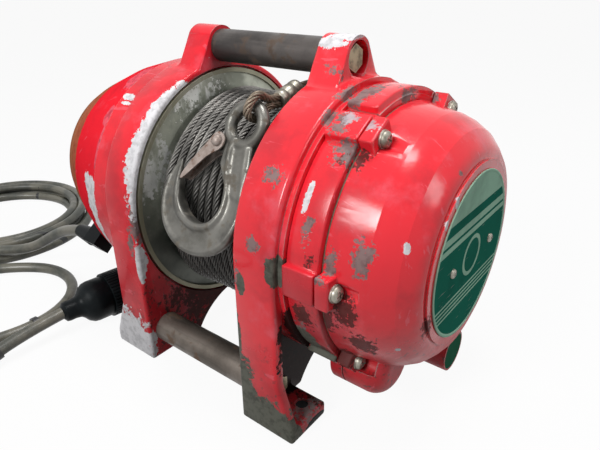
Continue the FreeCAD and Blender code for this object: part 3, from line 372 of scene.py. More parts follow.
def height_group():
    """Darkening low down: full below Low, gone above High, with a cloudy border."""
    tree, given, mask = new_group("low_darkening", "Vector Low High Scale Spread")
    height = add_node(tree, "SeparateXYZ", {0: given["Vector"]}).outputs["Z"]
    cloud = noise(tree, given["Vector"], given["Scale"], 6.0, 0.65)
    edge = arithmetic(tree, "ADD", height, times(tree, less(tree, cloud, 0.5), given["Spread"]))
    tree.links.new(less(tree, 1.0, between(tree, edge, given["Low"], given["High"])), mask)
    return tree


def streak_group():
    """Long marks: noise squeezed by Stretch, so that it draws out along the small axis."""
    tree, given, mask = new_group("streaks", "Vector Stretch Level Softness")
    drawn = add_node(tree, "VectorMath", {0: given["Vector"], 1: given["Stretch"]}, operation="MULTIPLY")
    top = arithmetic(tree, "ADD", given["Level"], given["Softness"])
    tree.links.new(between(tree, noise(tree, drawn.outputs[0], 1.0, 4.0, 0.6), given["Level"], top), mask)
    return tree


BLOTCHES, RUBBED_EDGES, WORN_PATCH = blotch_group(), edge_group(), patch_group()
LOW_DARKENING, STREAKS = height_group(), streak_group()


def clouds(tree, place, scale, start, softness):
    return mask_of(tree, BLOTCHES, place, Scale=scale, Level=start, Softness=softness)


print("mask groups", [g.name for g in bpy.data.node_groups])

# %% [markdown]
# ## Backdrop and light
# The winch stands on a plain pale floor before white. Light Path lets the camera and mirror-like surfaces see
# a white world, while three soft lamps do most to set how bright the paint is. The overhead lamp and the two
# windows, one in front and one at the side, draw the bright bars that run along the enamel.

# %% Backdrop and light
WORLD_FILL = 0.14
FLOOR_TONE, FLOOR_BOUNCE_TONE, FLOOR_GLOW = (0.7, 0.7, 0.7), (0.14, 0.14, 0.14), 0.94
FLOOR_SIZE, FLOOR_DROP = 14, 0.2 * MM
# Each lamp: its name, place, aim, width, height and power in watts.
LAMPS = (
    ("overhead_panel", (0.12, 0.05, 1.35), (0.06, 0.0, 0.16), 0.55, 0.3, 10.0),
    ("front_window", (-0.12, -1.35, 1.02), (0.05, 0.0, 0.14), 0.42, 0.42, 17.0),
    ("side_window", (1.25, 0.15, 0.85), (0.05, 0.0, 0.14), 0.25, 0.5, 4.0),
)


def empty_tree(holder):
    holder.use_nodes = True
    holder.node_tree.nodes.clear()
    return holder.node_tree


def add_world():
    world = bpy.data.worlds.new("white_room")
    bpy.context.scene.world = world
    tree = empty_tree(world)
    path = add_node(tree, "LightPath").outputs
    seen = arithmetic(tree, "MAXIMUM", path["Is Camera Ray"], path["Is Transmission Ray"])
    lit = arithmetic(tree, "MAXIMUM", seen, path["Is Glossy Ray"])
    strength = add_node(tree, "MapRange", {"Value": lit, "To Min": WORLD_FILL}).outputs[0]
    background = add_node(tree, "Background", {"Color": (1, 1, 1, 1), "Strength": strength})
    add_node(tree, "OutputWorld", {"Surface": background.outputs[0]})


def add_floor():
    select_nothing()
    bpy.ops.mesh.primitive_plane_add(size=FLOOR_SIZE, location=(0, 0, -FLOOR_DROP))
    floor = bpy.context.object
    floor.name = "pale_floor"
    material = bpy.data.materials.new("pale_floor")
    tree = empty_tree(material)
    path = add_node(tree, "LightPath").outputs
    tone = layer(tree, path["Is Diffuse Ray"], FLOOR_TONE, FLOOR_BOUNCE_TONE)
    seen = arithmetic(tree, "MAXIMUM", path["Is Camera Ray"], path["Is Glossy Ray"])
    diffuse = add_node(tree, "BsdfDiffuse", {"Color": tone}).outputs[0]
    glow = add_node(tree, "Emission").outputs[0]
    mix = add_node(tree, "MixShader", {"Fac": times(tree, seen, FLOOR_GLOW), 1: diffuse, 2: glow})
    add_node(tree, "OutputMaterial", {"Surface": mix.outputs[0]})
    floor.data.materials.append(material)


def add_lamps():
    for name, place, aim, wide, tall, watts in LAMPS:
        bpy.ops.object.light_add(type="AREA", location=place)
        lamp = bpy.context.object
        lamp.name = name
        lamp.data.shape = "RECTANGLE"
        lamp.data.size, lamp.data.size_y = wide, tall
        lamp.data.energy = watts
        lamp.rotation_euler = (Vector(aim) - Vector(place)).to_track_quat("-Z", "Y").to_euler()


bpy.context.scene.view_settings.view_transform = "Standard"
add_world()
add_floor()
add_lamps()
print("lamps", [lamp[0] for lamp in LAMPS])

# %% [markdown]
# ## Red enamel
# The castings were sprayed with glossy red enamel. It has faded in clouds, gone dull and dark towards the
# floor, and broken away where rope, floor and hands rub it, down to pale or dark bare metal. Some patches are
# painted shade on faces and holes that lie in shade, and some give rubbed spots a painted sheen. The same
# function makes the finish for each casting, and a table gives each its own patches: a centre and three radii
# in millimetres, and a turn in degrees where one is needed.

# %% Red enamel
ENAMEL_FADED = (0.74, 0.12, 0.16)
# Each paint has a bright, a dull and a faded tone.
RED_PAINT = ((0.80, 0.020, 0.034), (0.56, 0.020, 0.032), ENAMEL_FADED)
PRIMER_PAINT = ((0.34, 0.125, 0.062), (0.24, 0.085, 0.042), (0.40, 0.18, 0.11))
# The near-black brown tone serves for dirt specks and grime, and as painted shade where grime patches lie in
# shade.
EDGE_METAL, DIRT_AND_SHADE, LOW_DARK_RED = (0.34, 0.31, 0.30), (0.035, 0.028, 0.024), (0.20, 0.016, 0.018)
# Each kind of patch, from wear and grime to painted shade and painted sheen: its colour, how much it covers,
# how ragged, fine and soft its border is, and how dark its grain is.
WEAR_KINDS = {
    "primer": (PRIMER_PAINT[0], 0.9, 0.15, 60.0, 0.05, 0.7),
    "faded": (ENAMEL_FADED, 0.8, 1.4, 90.0, 0.3, 0.55),
    # grime, and painted shade on inner faces, webs and low recesses
    "grime_and_shade": (DIRT_AND_SHADE, 0.86, 1.6, 70.0, 0.95, 0.55),
    "rubbed": ((0.21, 0.185, 0.18), 0.92, 2.2, 90.0, 0.9, 0.55),
    "dark": ((0.12, 0.122, 0.10), 1.0, 1.5, 80.0, 0.06, 0.55),
    "pale": ((0.72, 0.71, 0.73), 1.0, 2.0, 85.0, 0.08, 0.72),
    # rubbed bare spots with a painted pinkish sheen of the light they reflect
    "bare_with_sheen": ((0.50, 0.44, 0.47), 0.85, 2.2, 90.0, 0.9, 0.6),
    # painted shade: near black, for faces that lie in deep shade
    "painted_shade": ((0.010, 0.008, 0.007), 0.98, 0.7, 60.0, 0.15, 0.55),
    # painted shade: near black, inside a deep hole
    "painted_hole_shade": ((0.006, 0.005, 0.005), 1.0, 0.0, 90.0, 0.1, 0.55),
}
BARE_GLOSS = 0.08
FINEST_GRAIN = 1300   # a patch's noise is at least this fine for its middle radius in mm


def new_finish(name):
    """A material with its shader, and the object coordinates its masks read."""
    material = bpy.data.materials.new(name)
    material.use_nodes = True
    tree = material.node_tree
    place = tree.nodes.new("ShaderNodeTexCoord").outputs["Object"]
    return material, tree, tree.nodes["Principled BSDF"], place


def patches(tree, place, listed, ragged, scale, softness):
    """A list of worn patches gathered into one mask: each has a centre, three radii and maybe a turn."""
    gathered = None
    for centre, radii, *turn in listed:
        turn = [math.radians(t) for t in (turn or (0, 0, 0))]
        fineness = max(scale, FINEST_GRAIN / sorted(radii)[1])
        mask = mask_of(tree, WORN_PATCH, place, Centre=Vector(centre) * MM, Radii=Vector(radii) * MM,
                       Turn=turn, Ragged=ragged, Scale=fineness, Softness=softness)
        gathered = mask if gathered is None else arithmetic(tree, "MAXIMUM", gathered, mask)
    return gathered


def fill_shader(tree, shader, colour, roughness, metallic, height, strength, distance):
    """The four inputs that every finish has: colour, roughness, metal and a bump."""
    bump = add_node(tree, "Bump", {"Strength": strength, "Distance": distance, "Height": height})
    for socket, value in (("Base Color", colour), ("Roughness", roughness), ("Metallic", metallic),
                          ("Normal", bump.outputs[0])):
        feed(tree, shader.inputs[socket], value)


def weathered_paint(tree, place, paint, low_dark_heights):
    """The paint that is left: faded in clouds, scuffed, and darker towards the floor."""
    bright, dull, faded = paint
    cloud = clouds(tree, place, 16.0, 0.44, 0.22)
    colour = layer(tree, cloud, bright, dull)
    colour = tint(tree, colour, clouds(tree, place, 26.0, 0.54, 0.2), 0.55, faded)
    # The paint grows darker towards the floor, with dark specks there.
    low_dark = mask_of(tree, LOW_DARKENING, place, Low=low_dark_heights[0], High=low_dark_heights[1], Scale=45.0, Spread=0.09)
    colour = tint(tree, colour, low_dark, 0.6, LOW_DARK_RED)
    specks = times(tree, clouds(tree, place, 210.0, 0.55, 0.12), low_dark)
    colour = tint(tree, colour, specks, 0.85, DIRT_AND_SHADE)
    scuffs = mask_of(tree, STREAKS, place, Stretch=(30, 240, 70), Level=0.625, Softness=0.05)
    colour = tint(tree, colour, scuffs, 0.5, faded)
    return colour, level(tree, low_dark, level(tree, cloud, 0.15, 0.27), 0.55)


def enamel(name, wear, low_dark_heights=(0.0, 0.10), edges=0.66, paint=RED_PAINT, gloss=0.36):
    """The finish of one casting: weathered paint, then bare edges, then its own patches of wear, grime,
    painted shade and painted sheen.
    """
    material, tree, shader, place = new_finish(name)
    colour, rough = weathered_paint(tree, place, paint, low_dark_heights)
    bare = mask_of(tree, RUBBED_EDGES, place, Width=2.2 * MM, Scale=34.0, Level=edges)
    colour = layer(tree, bare, colour, EDGE_METAL)
    for kind, (shade, share, ragged, scale, softness, tone) in WEAR_KINDS.items():
        if kind in wear:
            mask = times(tree, patches(tree, place, wear[kind], ragged, scale, softness), share)
            grain = clouds(tree, place, 190.0, 0.42, 0.25)
            colour = layer(tree, mask, colour, layer(tree, grain, shade, tuple(tone * c for c in shade)))
            if kind not in ("primer", "faded"):
                bare = arithmetic(tree, "MAXIMUM", bare, mask)
    height = less(tree, times(tree, noise(tree, place, 420.0, 2.0), 0.12), times(tree, bare, 0.5))
    fill_shader(tree, shader, colour, level(tree, bare, rough, 0.55), 0.0, height, 0.35, 0.8 * MM)
    feed(tree, shader.inputs["Specular IOR Level"], level(tree, bare, gloss, min(gloss, BARE_GLOSS)))
    return material


print("kinds of wear", list(WEAR_KINDS))

# %% Worn patches, grime, painted shade and painted sheen of each casting
MOTOR_FRAME_WEAR = {
    "pale": (((-50, -80, 188), (14.5, 64, 57)), ((-54, -108, 97), (3.4, 8, 17)),
             ((-80, -110, 4), (37, 13, 42)), ((-98, -64.7, 216.3), (8, 5, 2.6)),
             ((-96, -69.4, 212.5), (6, 3, 1.3))),
    "rubbed": (((-51, -106, 130), (12, 14, 36)), ((-60, -108, 112), (6, 8, 22)),
               ((-70, -60, 235), (10, 12, 8))),
    # the first grime patch, on the inner face, is grease and painted shade between the frames
    "grime_and_shade": (((-53, -20, 40), (4, 120, 84)), ((-90, 100, 4), (60, 40, 44))),
}
GEAR_FRAME_WEAR = {
    "pale": (((71, -4, 268), (13, 16, 2.5)), ((62, -11, 264), (13, 6, 5)), ((86, -13, 256), (3, 3, 14))),
    # the last dark patch, on the rear foot, is painted shade under the machine
    "dark": (((57, -108, 14), (14, 50, 45)), ((80, -112, 0), (44, 18, 33)), ((53, -108, 70), (4.5, 6, 28)),
             ((89, -104, 138), (8, 11, 12)), ((60, -108, 119), (4, 8, 9)), ((75, 100, -2), (40, 50, 34))),
    "rubbed": (((90, -50, 224), (7, 15, 9)), ((70, -20, 243), (14, 4, 12)), ((71, -106, 152), (9, 9, 9)),
               ((57, -104, 125), (6, 9, 16)), ((96, -84, 10), (14, 20, 8)), ((74, -90, 195), (12, 10, 9)),
               ((88, -28, 237), (7, 22, 10))),
    # the grime on the web and the inner face is partly painted shade under the gear case
    "grime_and_shade": (((80, -30, 46), (32, 70, 62)), ((54, 20, 60), (5, 110, 84)), ((92, -60, 12), (30, 34, 5))),
    # painted shade: the web and the inner faces of the legs under the gear case, nearly black
    "painted_shade": (((112, -85, 75), (30, 44, 55)), ((70, -20, 20), (12, 78, 98))),
    # painted shade inside the foot's bolt hole
    "painted_hole_shade": (((88.9, -80, 2), (19, 19, 9)),),
}
GEAR_CASE_WEAR = {
    "pale": (((99, -86, 184), (2.4, 6, 11), -33, 0, 0),),
    # rubbed spots on top of the case, with a painted sheen of reflected light
    "bare_with_sheen": (((103, -47, 226), (9, 12, 6)), ((98, -78, 208), (5, 9, 9))),
    "dark": (((97, -84, 78), (10, 22, 18)), ((104, -76, 64), (12, 10, 6))),
    "rubbed": (((98, -22, 234), (11, 42, 16)), ((115, 3, 233), (11, 18, 9)), ((110, -62, 205), (15, 14, 18)),
               ((97, -90, 88), (11, 12, 18)), ((99, -52, 222), (10, 18, 12)), ((104, -92, 165), (8, 10, 16))),
    "grime_and_shade": (((104, -97, 106), (13, 12, 20)), ((106, -78, 68), (16, 24, 16)), ((110, -95, 150), (8, 8, 10)),
              ((112, -64, 202), (9, 12, 12))),
}
GEAR_COVER_WEAR = {
    "pale": (((161.6, -75.9, 165.5), (2.2, 2.4, 4)), ((160.2, -73, 92.4), (1.8, 2.4, 1.8)),
             ((172.8, -37, 183), (2, 3, 4)), ((172.8, -49.5, 172.7), (2, 2, 3.4))),
    # a rubbed spot on top of the cover, with a painted sheen of reflected light
    "bare_with_sheen": (((120, -51, 224), (8, 9, 4.5)),),
    "rubbed": (((117, 40, 224.4), (10, 10, 5)), ((141, -89, 158), (10, 12, 24)),
               ((170, -30, 199), (2.4, 3, 3)), ((122, -93, 148), (6, 9, 20)), ((118, -104, 142), (9, 12, 5))),
    "grime_and_shade": (((120.6, -61, 206), (9, 12, 13)), ((119, -93, 106), (8, 12, 36)),
              ((122, -73, 70), (14, 20, 18)), ((172, -60, 107), (3, 10, 17)), ((132, -91, 118), (14, 14, 24)),
              ((140, -84, 92), (18, 16, 16)), ((118, -100, 152), (9, 12, 9))),
}
MOTOR_COVER_WEAR = {
    "pale": (((-117, -99, 147), (11, 16, 12)), ((-115, -103, 132), (10, 16, 20)),
             ((-114, -100, 112), (8, 16, 18)), ((-112, -96, 97), (5.5, 14, 13))),
    "faded": (((-110, -78, 202), (7, 9, 13)), ((-107, -90, 180), (2.0, 30, 30)),
              ((-112, -40, 226), (16, 26, 12))),
    "primer": (((-210, 0, 133), (50, 400, 400)),),
}

motor_frame_red = enamel("motor_frame_red", MOTOR_FRAME_WEAR, gloss=0.16)
gear_frame_red = enamel("gear_frame_red", GEAR_FRAME_WEAR)
gear_case_red = enamel("gear_case_red", GEAR_CASE_WEAR, low_dark_heights=(0.03, 0.16))
gear_cover_red = enamel("gear_cover_red", GEAR_COVER_WEAR, low_dark_heights=(0.03, 0.13), edges=0.75)
motor_cover_red = enamel("motor_cover_red", MOTOR_COVER_WEAR, gloss=0.0)
end_bell_red = enamel("end_bell_red", {}, low_dark_heights=(0.02, 0.16), paint=PRIMER_PAINT, gloss=0.0)
print("enamels", [m.name for m in bpy.data.materials if m.name.endswith("_red")])

# %% [markdown]
# ## Castings
# A sand casting has no sharp edge. Each casting is a copy of its CAD solid with the doubled points merged and
# its long edges rounded by a bevel, so the highlights run round the edges as they do on the real one.

# %% Castings
def dress(piece, body, finish, stands_for=(), smooth_deg=40):
    """The last step of a piece: smooth shading, finish, the body it moves with and the node it stands for."""
    apply_place(piece)
    bpy.ops.object.shade_smooth_by_angle(angle=math.radians(smooth_deg))
    piece.data.materials.clear()
    piece.data.materials.append(finish)
    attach(piece, body)
    if stands_for:
        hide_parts(*stands_for)
    return piece


SHARP_DEG = 32
RECESS_START = 80 * MM


def mark_edges(piece, wanted, sharp_deg=0):
    """Edit mode with only the wanted edges selected, out of those at least as sharp as asked."""
    pick(piece)
    set_mode("EDIT")
    bpy.ops.mesh.select_mode(type="EDGE")
    bpy.ops.mesh.select_all(action="SELECT")
    if sharp_deg:
        bpy.ops.mesh.select_all(action="DESELECT")
        bpy.ops.mesh.edges_select_sharp(sharpness=math.radians(sharp_deg))
    set_mode("OBJECT")
    points = piece.data.vertices
    chosen = [edge.index for edge in piece.data.edges
              if edge.select and wanted(*(points[i].co for i in edge.vertices))]
    set_mode("EDIT")
    bpy.ops.mesh.select_all(action="DESELECT")
    set_mode("OBJECT")
    for index in chosen:
        piece.data.edges[index].select = True
    set_mode("EDIT")


def casting_copy(node, name, round_mm, least_mm, inner_mm, crisp_mm, rings_mm):
    """A copy of a CAD solid with merged points. Its long outer edges are rounded, save round the recesses
    behind and above the crisp corner, and its low rings stay sharp."""
    piece = add_object(name, nodes[node].data.copy())
    pick(piece)
    bpy.ops.mesh.customdata_custom_splitnormals_clear()
    set_mode("EDIT")
    bpy.ops.mesh.select_all(action="SELECT")
    bpy.ops.mesh.remove_doubles(threshold=MERGE_REACH)
    bpy.ops.mesh.dissolve_limited(angle_limit=math.radians(1))

    def long_and_outer(a, b):
        reach = min(math.hypot(p.y, p.z - DRUM_AXIS) for p in (a, b))
        recessed = (min(abs(a.x), abs(b.x)) > RECESS_START and min(a.y, b.y) > crisp_mm[0] * MM
                    and min(a.z, b.z) > crisp_mm[1] * MM)
        return (a - b).length > least_mm * MM and reach > inner_mm * MM and not recessed

    def on_ring(a, b):
        return any(max(abs(a.x - x * MM), abs(b.x - x * MM)) < 0.05 * MM for x in rings_mm)

    mark_edges(piece, long_and_outer, SHARP_DEG)
    bpy.ops.mesh.bevel(offset=round_mm * MM, segments=3, affect="EDGES", clamp_overlap=False)
    if rings_mm:
        mark_edges(piece, on_ring)
        bpy.ops.mesh.mark_sharp()
    bpy.ops.mesh.select_mode(type="VERT")
    set_mode("OBJECT")
    return piece


# Each casting: its node, its name, the radius of its edges, the shortest edge that is rounded, how far out
# rounding starts, the crisp corner's y and z, the places of its low rings, all in mm, and its finish.
CASTINGS = (
    ("motor_side_frame", "cast_motor_frame", 2.6, 4.5, 106.5, (-200, 236), (), motor_frame_red),
    ("gear_side_frame", "cast_gear_frame", 2.6, 4.5, 106.5, (-200, 236), (), gear_frame_red),
    ("gear_case", "cast_gear_case", 1.3, 3.0, 80, (12, 200), (), gear_case_red),
    ("gear_cover", "cast_gear_cover", 1.3, 3.0, 80, (12, 200), (144, 161), gear_cover_red),
    ("motor_cover", "cast_motor_cover", 1.6, 3.0, 80, (-200, 236), (), motor_cover_red),
    ("motor_end_bell", "cast_end_bell", 2.0, 3.0, 30, (-200, 236), (), end_bell_red))
for node, name, *rounding, finish in CASTINGS:
    casting = casting_copy(node, name, *rounding)
    dress(casting, "winch", finish, (node,))
    print(name, len(casting.data.polygons), "faces")

# %% [markdown]
# ## Metals, rubber and plastics
# The other finishes are shorter stacks of the same masks: dull steel with streaks, greasy strand, satin forged
# steel, rusty sheet, black rubber and the grey jacket of the cord. The flanges carry painted highlight streaks
# and grow darker low down.

# %% Metals, rubber and plastics
# Patches of painted highlight, where the flange's front catches the light.
FLANGE_HIGHLIGHTS = (((-48, -88, 176), (20, 44, 56)), ((-48, -40, 222), (20, 62, 34)))
FLANGE_RIM = (97.2 * MM, 98.5 * MM)
CORD_BANDS = (((-515, 30, 17), (60, 7, 9), 0, 0, 36), ((-471, 3, 12), (3, 30, 20), 0, 0, 36),
              ((-320, -38, 12), (3, 34, 20), 0, 0, -30))


def metal(name, light, dark, roughness, metallic, scale, streak=(30, 30, 30), rust=None, edge=None):
    """A metal with cloudy tone, streaks, rust spots and brighter edges."""
    material, tree, shader, place = new_finish(name)
    cloud = clouds(tree, place, scale, 0.38, 0.3)
    colour = layer(tree, cloud, light, dark)
    lines = mask_of(tree, STREAKS, place, Stretch=streak, Level=0.5, Softness=0.2)
    colour = tint(tree, colour, lines, 0.5, tuple(0.45 * c for c in dark))
    rough = level(tree, cloud, roughness, roughness + 0.18)
    shine = metallic
    if rust:
        spots = clouds(tree, place, 2.2 * scale, 0.54, 0.12)
        colour = tint(tree, colour, spots, 0.8, rust)
        rough = level(tree, spots, rough, 0.85)
        shine = level(tree, spots, metallic, 0.1)
    if edge:
        worn = mask_of(tree, RUBBED_EDGES, place, Width=1.6 * MM, Scale=120.0, Level=0.22)
        colour = layer(tree, worn, colour, edge)
    fill_shader(tree, shader, colour, rough, shine, noise(tree, place, 500.0, 3.0), 0.12, 0.4 * MM)
    return material


def moulded(name, tone, dust, roughness, scale, gloss=0.5):
    """Rubber or plastic with dust in clouds and rubbed edges."""
    material, tree, shader, place = new_finish(name)
    cloud = clouds(tree, place, scale, 0.46, 0.25)
    colour = tint(tree, tone, cloud, 0.5, dust)
    worn = mask_of(tree, RUBBED_EDGES, place, Width=1.2 * MM, Scale=140.0, Level=0.25)
    colour = tint(tree, colour, worn, 0.6, dust)
    rough = level(tree, cloud, roughness, roughness + 0.15)
    fill_shader(tree, shader, colour, rough, 0.0, noise(tree, place, 650.0, 2.0), 0.15, 0.4 * MM)
    shader.inputs["Specular IOR Level"].default_value = gloss
    return material


def flange_finish():
    """A dull greasy disc: darker low down, streaks of painted highlight on its front and a pale worn rim."""
    material, tree, shader, place = new_finish("flange_steel")
    cloud = clouds(tree, place, 20.0, 0.4, 0.2)
    colour = layer(tree, cloud, (0.58, 0.60, 0.50), (0.27, 0.285, 0.23))
    highlight_streaks = mask_of(tree, STREAKS, place, Stretch=(20, 95, 28), Level=0.36, Softness=0.2)
    # painted highlight: near-white streaks on the flange's front
    bright = patches(tree, place, FLANGE_HIGHLIGHTS, 1.2, 60.0, 0.95)
    colour = tint(tree, colour, bright, highlight_streaks, (0.95, 0.96, 0.92))
    # The disc grows darker towards the bottom.
    lower_dark = mask_of(tree, LOW_DARKENING, place, Low=0.10, High=0.155, Scale=30.0, Spread=0.07)
    colour = tint(tree, colour, lower_dark, 0.85, (0.022, 0.027, 0.022))
    rim = between(tree, from_axis(tree, place)[0], *FLANGE_RIM)
    colour = tint(tree, colour, rim, 0.85, (0.30, 0.28, 0.19))
    rough = level(tree, cloud, 0.38, 0.5)
    fill_shader(tree, shader, colour, rough, 0.4, noise(tree, place, 420.0, 3.0), 0.15, 0.4 * MM)
    return material


def cord_finish():
    """Greasy grey rubber with blacker lengths, a taped join and dark ties round the turns."""
    material, tree, shader, place = new_finish("cord_jacket")
    cloud = clouds(tree, place, 26.0, 0.40, 0.22)
    colour = layer(tree, cloud, (0.135, 0.128, 0.100), (0.050, 0.053, 0.043))
    colour = tint(tree, colour, clouds(tree, place, 9.0, 0.52, 0.12), 0.75, (0.022, 0.024, 0.020))
    colour = layer(tree, patches(tree, place, CORD_BANDS, 0.3, 90.0, 0.1), colour, (0.010, 0.011, 0.011))
    rough = level(tree, cloud, 0.34, 0.46)
    fill_shader(tree, shader, colour, rough, 0.0, noise(tree, place, 300.0, 3.0), 0.2, 0.5 * MM)
    return material


tube_steel = metal("tube_steel", (0.16, 0.135, 0.115), (0.09, 0.075, 0.062), 0.42, 0.6, 30.0,
                   (12, 160, 160), (0.10, 0.055, 0.03))
handle_steel = metal("handle_steel", (0.10, 0.088, 0.082), (0.045, 0.04, 0.038), 0.36, 0.6, 30.0,
                     (12, 160, 160), (0.08, 0.05, 0.032))
plated_steel = metal("plated_steel", (0.34, 0.32, 0.27), (0.15, 0.14, 0.11), 0.38, 0.8, 160.0,
                     edge=(0.55, 0.53, 0.48))
tie_brass = metal("tie_brass", (0.34, 0.29, 0.19), (0.14, 0.125, 0.085), 0.42, 0.8, 150.0,
                  edge=(0.5, 0.45, 0.32))
bare_steel = metal("bare_steel", (0.42, 0.42, 0.42), (0.24, 0.24, 0.24), 0.35, 0.9, 60.0)
flange_steel = flange_finish()
forged_steel = metal("forged_steel", (0.165, 0.16, 0.145), (0.085, 0.082, 0.072), 0.34, 0.75, 45.0,
                     (60, 60, 60), (0.11, 0.095, 0.072))
latch_sheet = metal("latch_sheet", (0.36, 0.30, 0.27), (0.22, 0.17, 0.145), 0.48, 0.5, 90.0,
                    rust=(0.14, 0.065, 0.035))
winding_copper = metal("winding_copper", (0.60, 0.28, 0.12), (0.35, 0.14, 0.06), 0.4, 0.9, 120.0)
plug_brass = metal("plug_brass", (0.62, 0.47, 0.20), (0.36, 0.26, 0.10), 0.35, 0.9, 120.0)
green_plastic = moulded("green_plastic", (0.034, 0.155, 0.09), (0.05, 0.19, 0.12), 0.35, 80.0, gloss=0.0)
black_rubber = moulded("black_rubber", (0.006, 0.008, 0.009), (0.014, 0.018, 0.020), 0.34, 70.0, gloss=0.08)
black_nylon = moulded("black_nylon", (0.010, 0.010, 0.011), (0.035, 0.035, 0.036), 0.35, 90.0)
gasket_fibre = moulded("gasket_fibre", (0.20, 0.17, 0.12), (0.10, 0.085, 0.06), 0.8, 120.0)
capacitor_case = moulded("capacitor_case", (0.55, 0.55, 0.57), (0.35, 0.35, 0.36), 0.35, 60.0)
cord_jacket = cord_finish()
print("finishes", len(bpy.data.materials))

# %% Finishes of the CAD nodes that stay
NODE_FINISH = {
    handle_steel: "handle_tube", tube_steel: "front_tie_tube rear_tie_tube",
    tie_brass: "tie_bolts tie_nuts tie_washers",
    plated_steel: "cover_screws cover_screw_washers nameplate_screws gear_retaining_ring brake_coil_screws "
                  "rope_ferrule latch_pin latch_spring",
    bare_steel: "drum_bearings layshaft_bearings motor_bearings drum_barrel drum_shaft drum_gear layshaft "
                "layshaft_wheel motor_shaft rotor_core motor_pinion brake_disc stator_core motor_bulkhead",
    flange_steel: "motor_side_flange gear_side_flange wound_rope rope_tail", forged_steel: "hook",
    latch_sheet: "hook_latch", winding_copper: "stator_windings brake_coil", plug_brass: "plug_pins",
    green_plastic: "filler_plug nameplate", black_rubber: "cable_gland plug_body plug_collar shaft_seal",
    black_nylon: "cable_ties", gasket_fibre: "cover_gasket", capacitor_case: "motor_capacitor",
}
for finish, names in NODE_FINISH.items():
    for name in names.split():
        nodes[name].data.materials.clear()
        nodes[name].data.materials.append(finish)
print("dressed", sum(len(n.split()) for n in NODE_FINISH.values()), "nodes")

# %% [markdown]
# ## Wire rope
# The rope has six strands laid round a core. A smooth line gives the rope's run; six more lines wind round it
# at the lay of the rope and become thin tubes. On the drum the top layer wanders as rope does when it is wound
# by hand, so a second, tidier layer shows between its turns. That lower layer is painted near black as painted
# shade in the gaps, and the rope is painted darker low on the drum as painted shade.

# %% Wire rope
ROPE_DIAMETER, ROPE_LAY = 6 * MM, 27 * MM
STRANDS, STRAND_RADIUS, STRAND_REACH = 6, ROPE_DIAMETER / 5.6, ROPE_DIAMETER * 0.32
WINDING_POINTS_PER_TURN = 24
WINDING_LIMIT_MM = 44.3


def laid_strands(name, path, sides):
    """Six strands laid round a line, as one mesh."""
    ahead = [(path[min(i + 1, len(path) - 1)] - path[max(i - 1, 0)]).normalized() for i in range(len(path))]
    beside = ahead[0].orthogonal().normalized()
    gone, frames = 0.0, []
    for i, place in enumerate(path):
        beside = (beside - ahead[i] * beside.dot(ahead[i])).normalized()
        gone += (place - path[i - 1]).length if i else 0
        frames.append((place, beside.copy(), ahead[i].cross(beside), 2 * math.pi * gone / ROPE_LAY))
    data = bpy.data.curves.new(name, "CURVE")
    data.dimensions, data.bevel_depth, data.bevel_resolution = "3D", STRAND_RADIUS, sides
    data.use_fill_caps = True
    for strand in range(STRANDS):
        start = 2 * math.pi * strand / STRANDS
        places = []
        for place, across, over, angle in frames:
            offset = across * math.cos(angle + start) + over * math.sin(angle + start)
            places.append(place + offset * STRAND_REACH)
        add_spline(data, "POLY", places)
    return as_mesh(name, data)


def winding_path(turns, radius, half_width, wander, phase):
    """Points of one layer on the drum, from left to right."""
    points = []
    for k in range(turns * WINDING_POINTS_PER_TURN + 1):
        angle = 2 * math.pi * k / WINDING_POINTS_PER_TURN
        share = k / (turns * WINDING_POINTS_PER_TURN)
        x = (2 * share - 1) * half_width
        x += wander * (math.sin(angle + phase) + 0.5 * math.sin(2 * angle + 5 * share))
        x = max(-WINDING_LIMIT_MM, min(WINDING_LIMIT_MM, x))
        lift = radius + 0.5 * math.sin(3.7 * angle + 9 * share)
        points.append(Vector((x * MM, -lift * MM * math.cos(angle), DRUM_AXIS + lift * MM * math.sin(angle))))
    return points


def wound_layer(name, turns, radius, half_width, wander, phase, sides, detail):
    """One layer of rope on the drum, as one mesh."""
    line = nurbs_line(name + "_line", winding_path(turns, radius, half_width, wander, phase), 0, detail)
    path = line_points(line)
    bpy.data.objects.remove(line)
    return laid_strands(name, path, sides)


def greasy_strand_with_shade(name, light, dark):
    """Steel strand under grease, with painted shade that blackens it low on the drum."""
    material, tree, shader, place = new_finish(name)
    cloud = clouds(tree, place, 55.0, 0.4, 0.25)
    colour = layer(tree, cloud, light, dark)
    colour = tint(tree, colour, clouds(tree, place, 18.0, 0.52, 0.15), 0.5, (0.018, 0.017, 0.015))
    # painted shade: the rope blackens low on the drum, where shade falls under the hook
    low = mask_of(tree, LOW_DARKENING, place, Low=0.14, High=0.21, Scale=30.0, Spread=0.03)
    colour = tint(tree, colour, low, 0.8, (0.016, 0.015, 0.013))
    rough = level(tree, cloud, 0.4, 0.55)
    fill_shader(tree, shader, colour, rough, 0.45, noise(tree, place, 900.0, 1.0), 0.25, 0.3 * MM)
    return material


wire_rope = greasy_strand_with_shade("wire_rope", (0.23, 0.22, 0.205), (0.10, 0.095, 0.088))
brown_rope = greasy_strand_with_shade("brown_rope", (0.24, 0.19, 0.14), (0.11, 0.085, 0.06))
# painted shade: the lower layer is near black, for the shade in the gaps between the top turns
painted_shade_rope = greasy_strand_with_shade("painted_shade_rope", (0.03, 0.028, 0.025), (0.012, 0.011, 0.010))
top_layer = dress(wound_layer("rope_top_layer", 11, 85.2, 43, 2.2, 0.9, 1, 8), "drum", wire_rope,
                  ("wound_rope",), 80)
low_layer = dress(wound_layer("rope_low_layer", 13, 79.4, 43, 0.8, 2.0, 0, 5), "drum", painted_shade_rope,
                  (), 80)
print("winding", len(top_layer.data.polygons), len(low_layer.data.polygons), "faces")

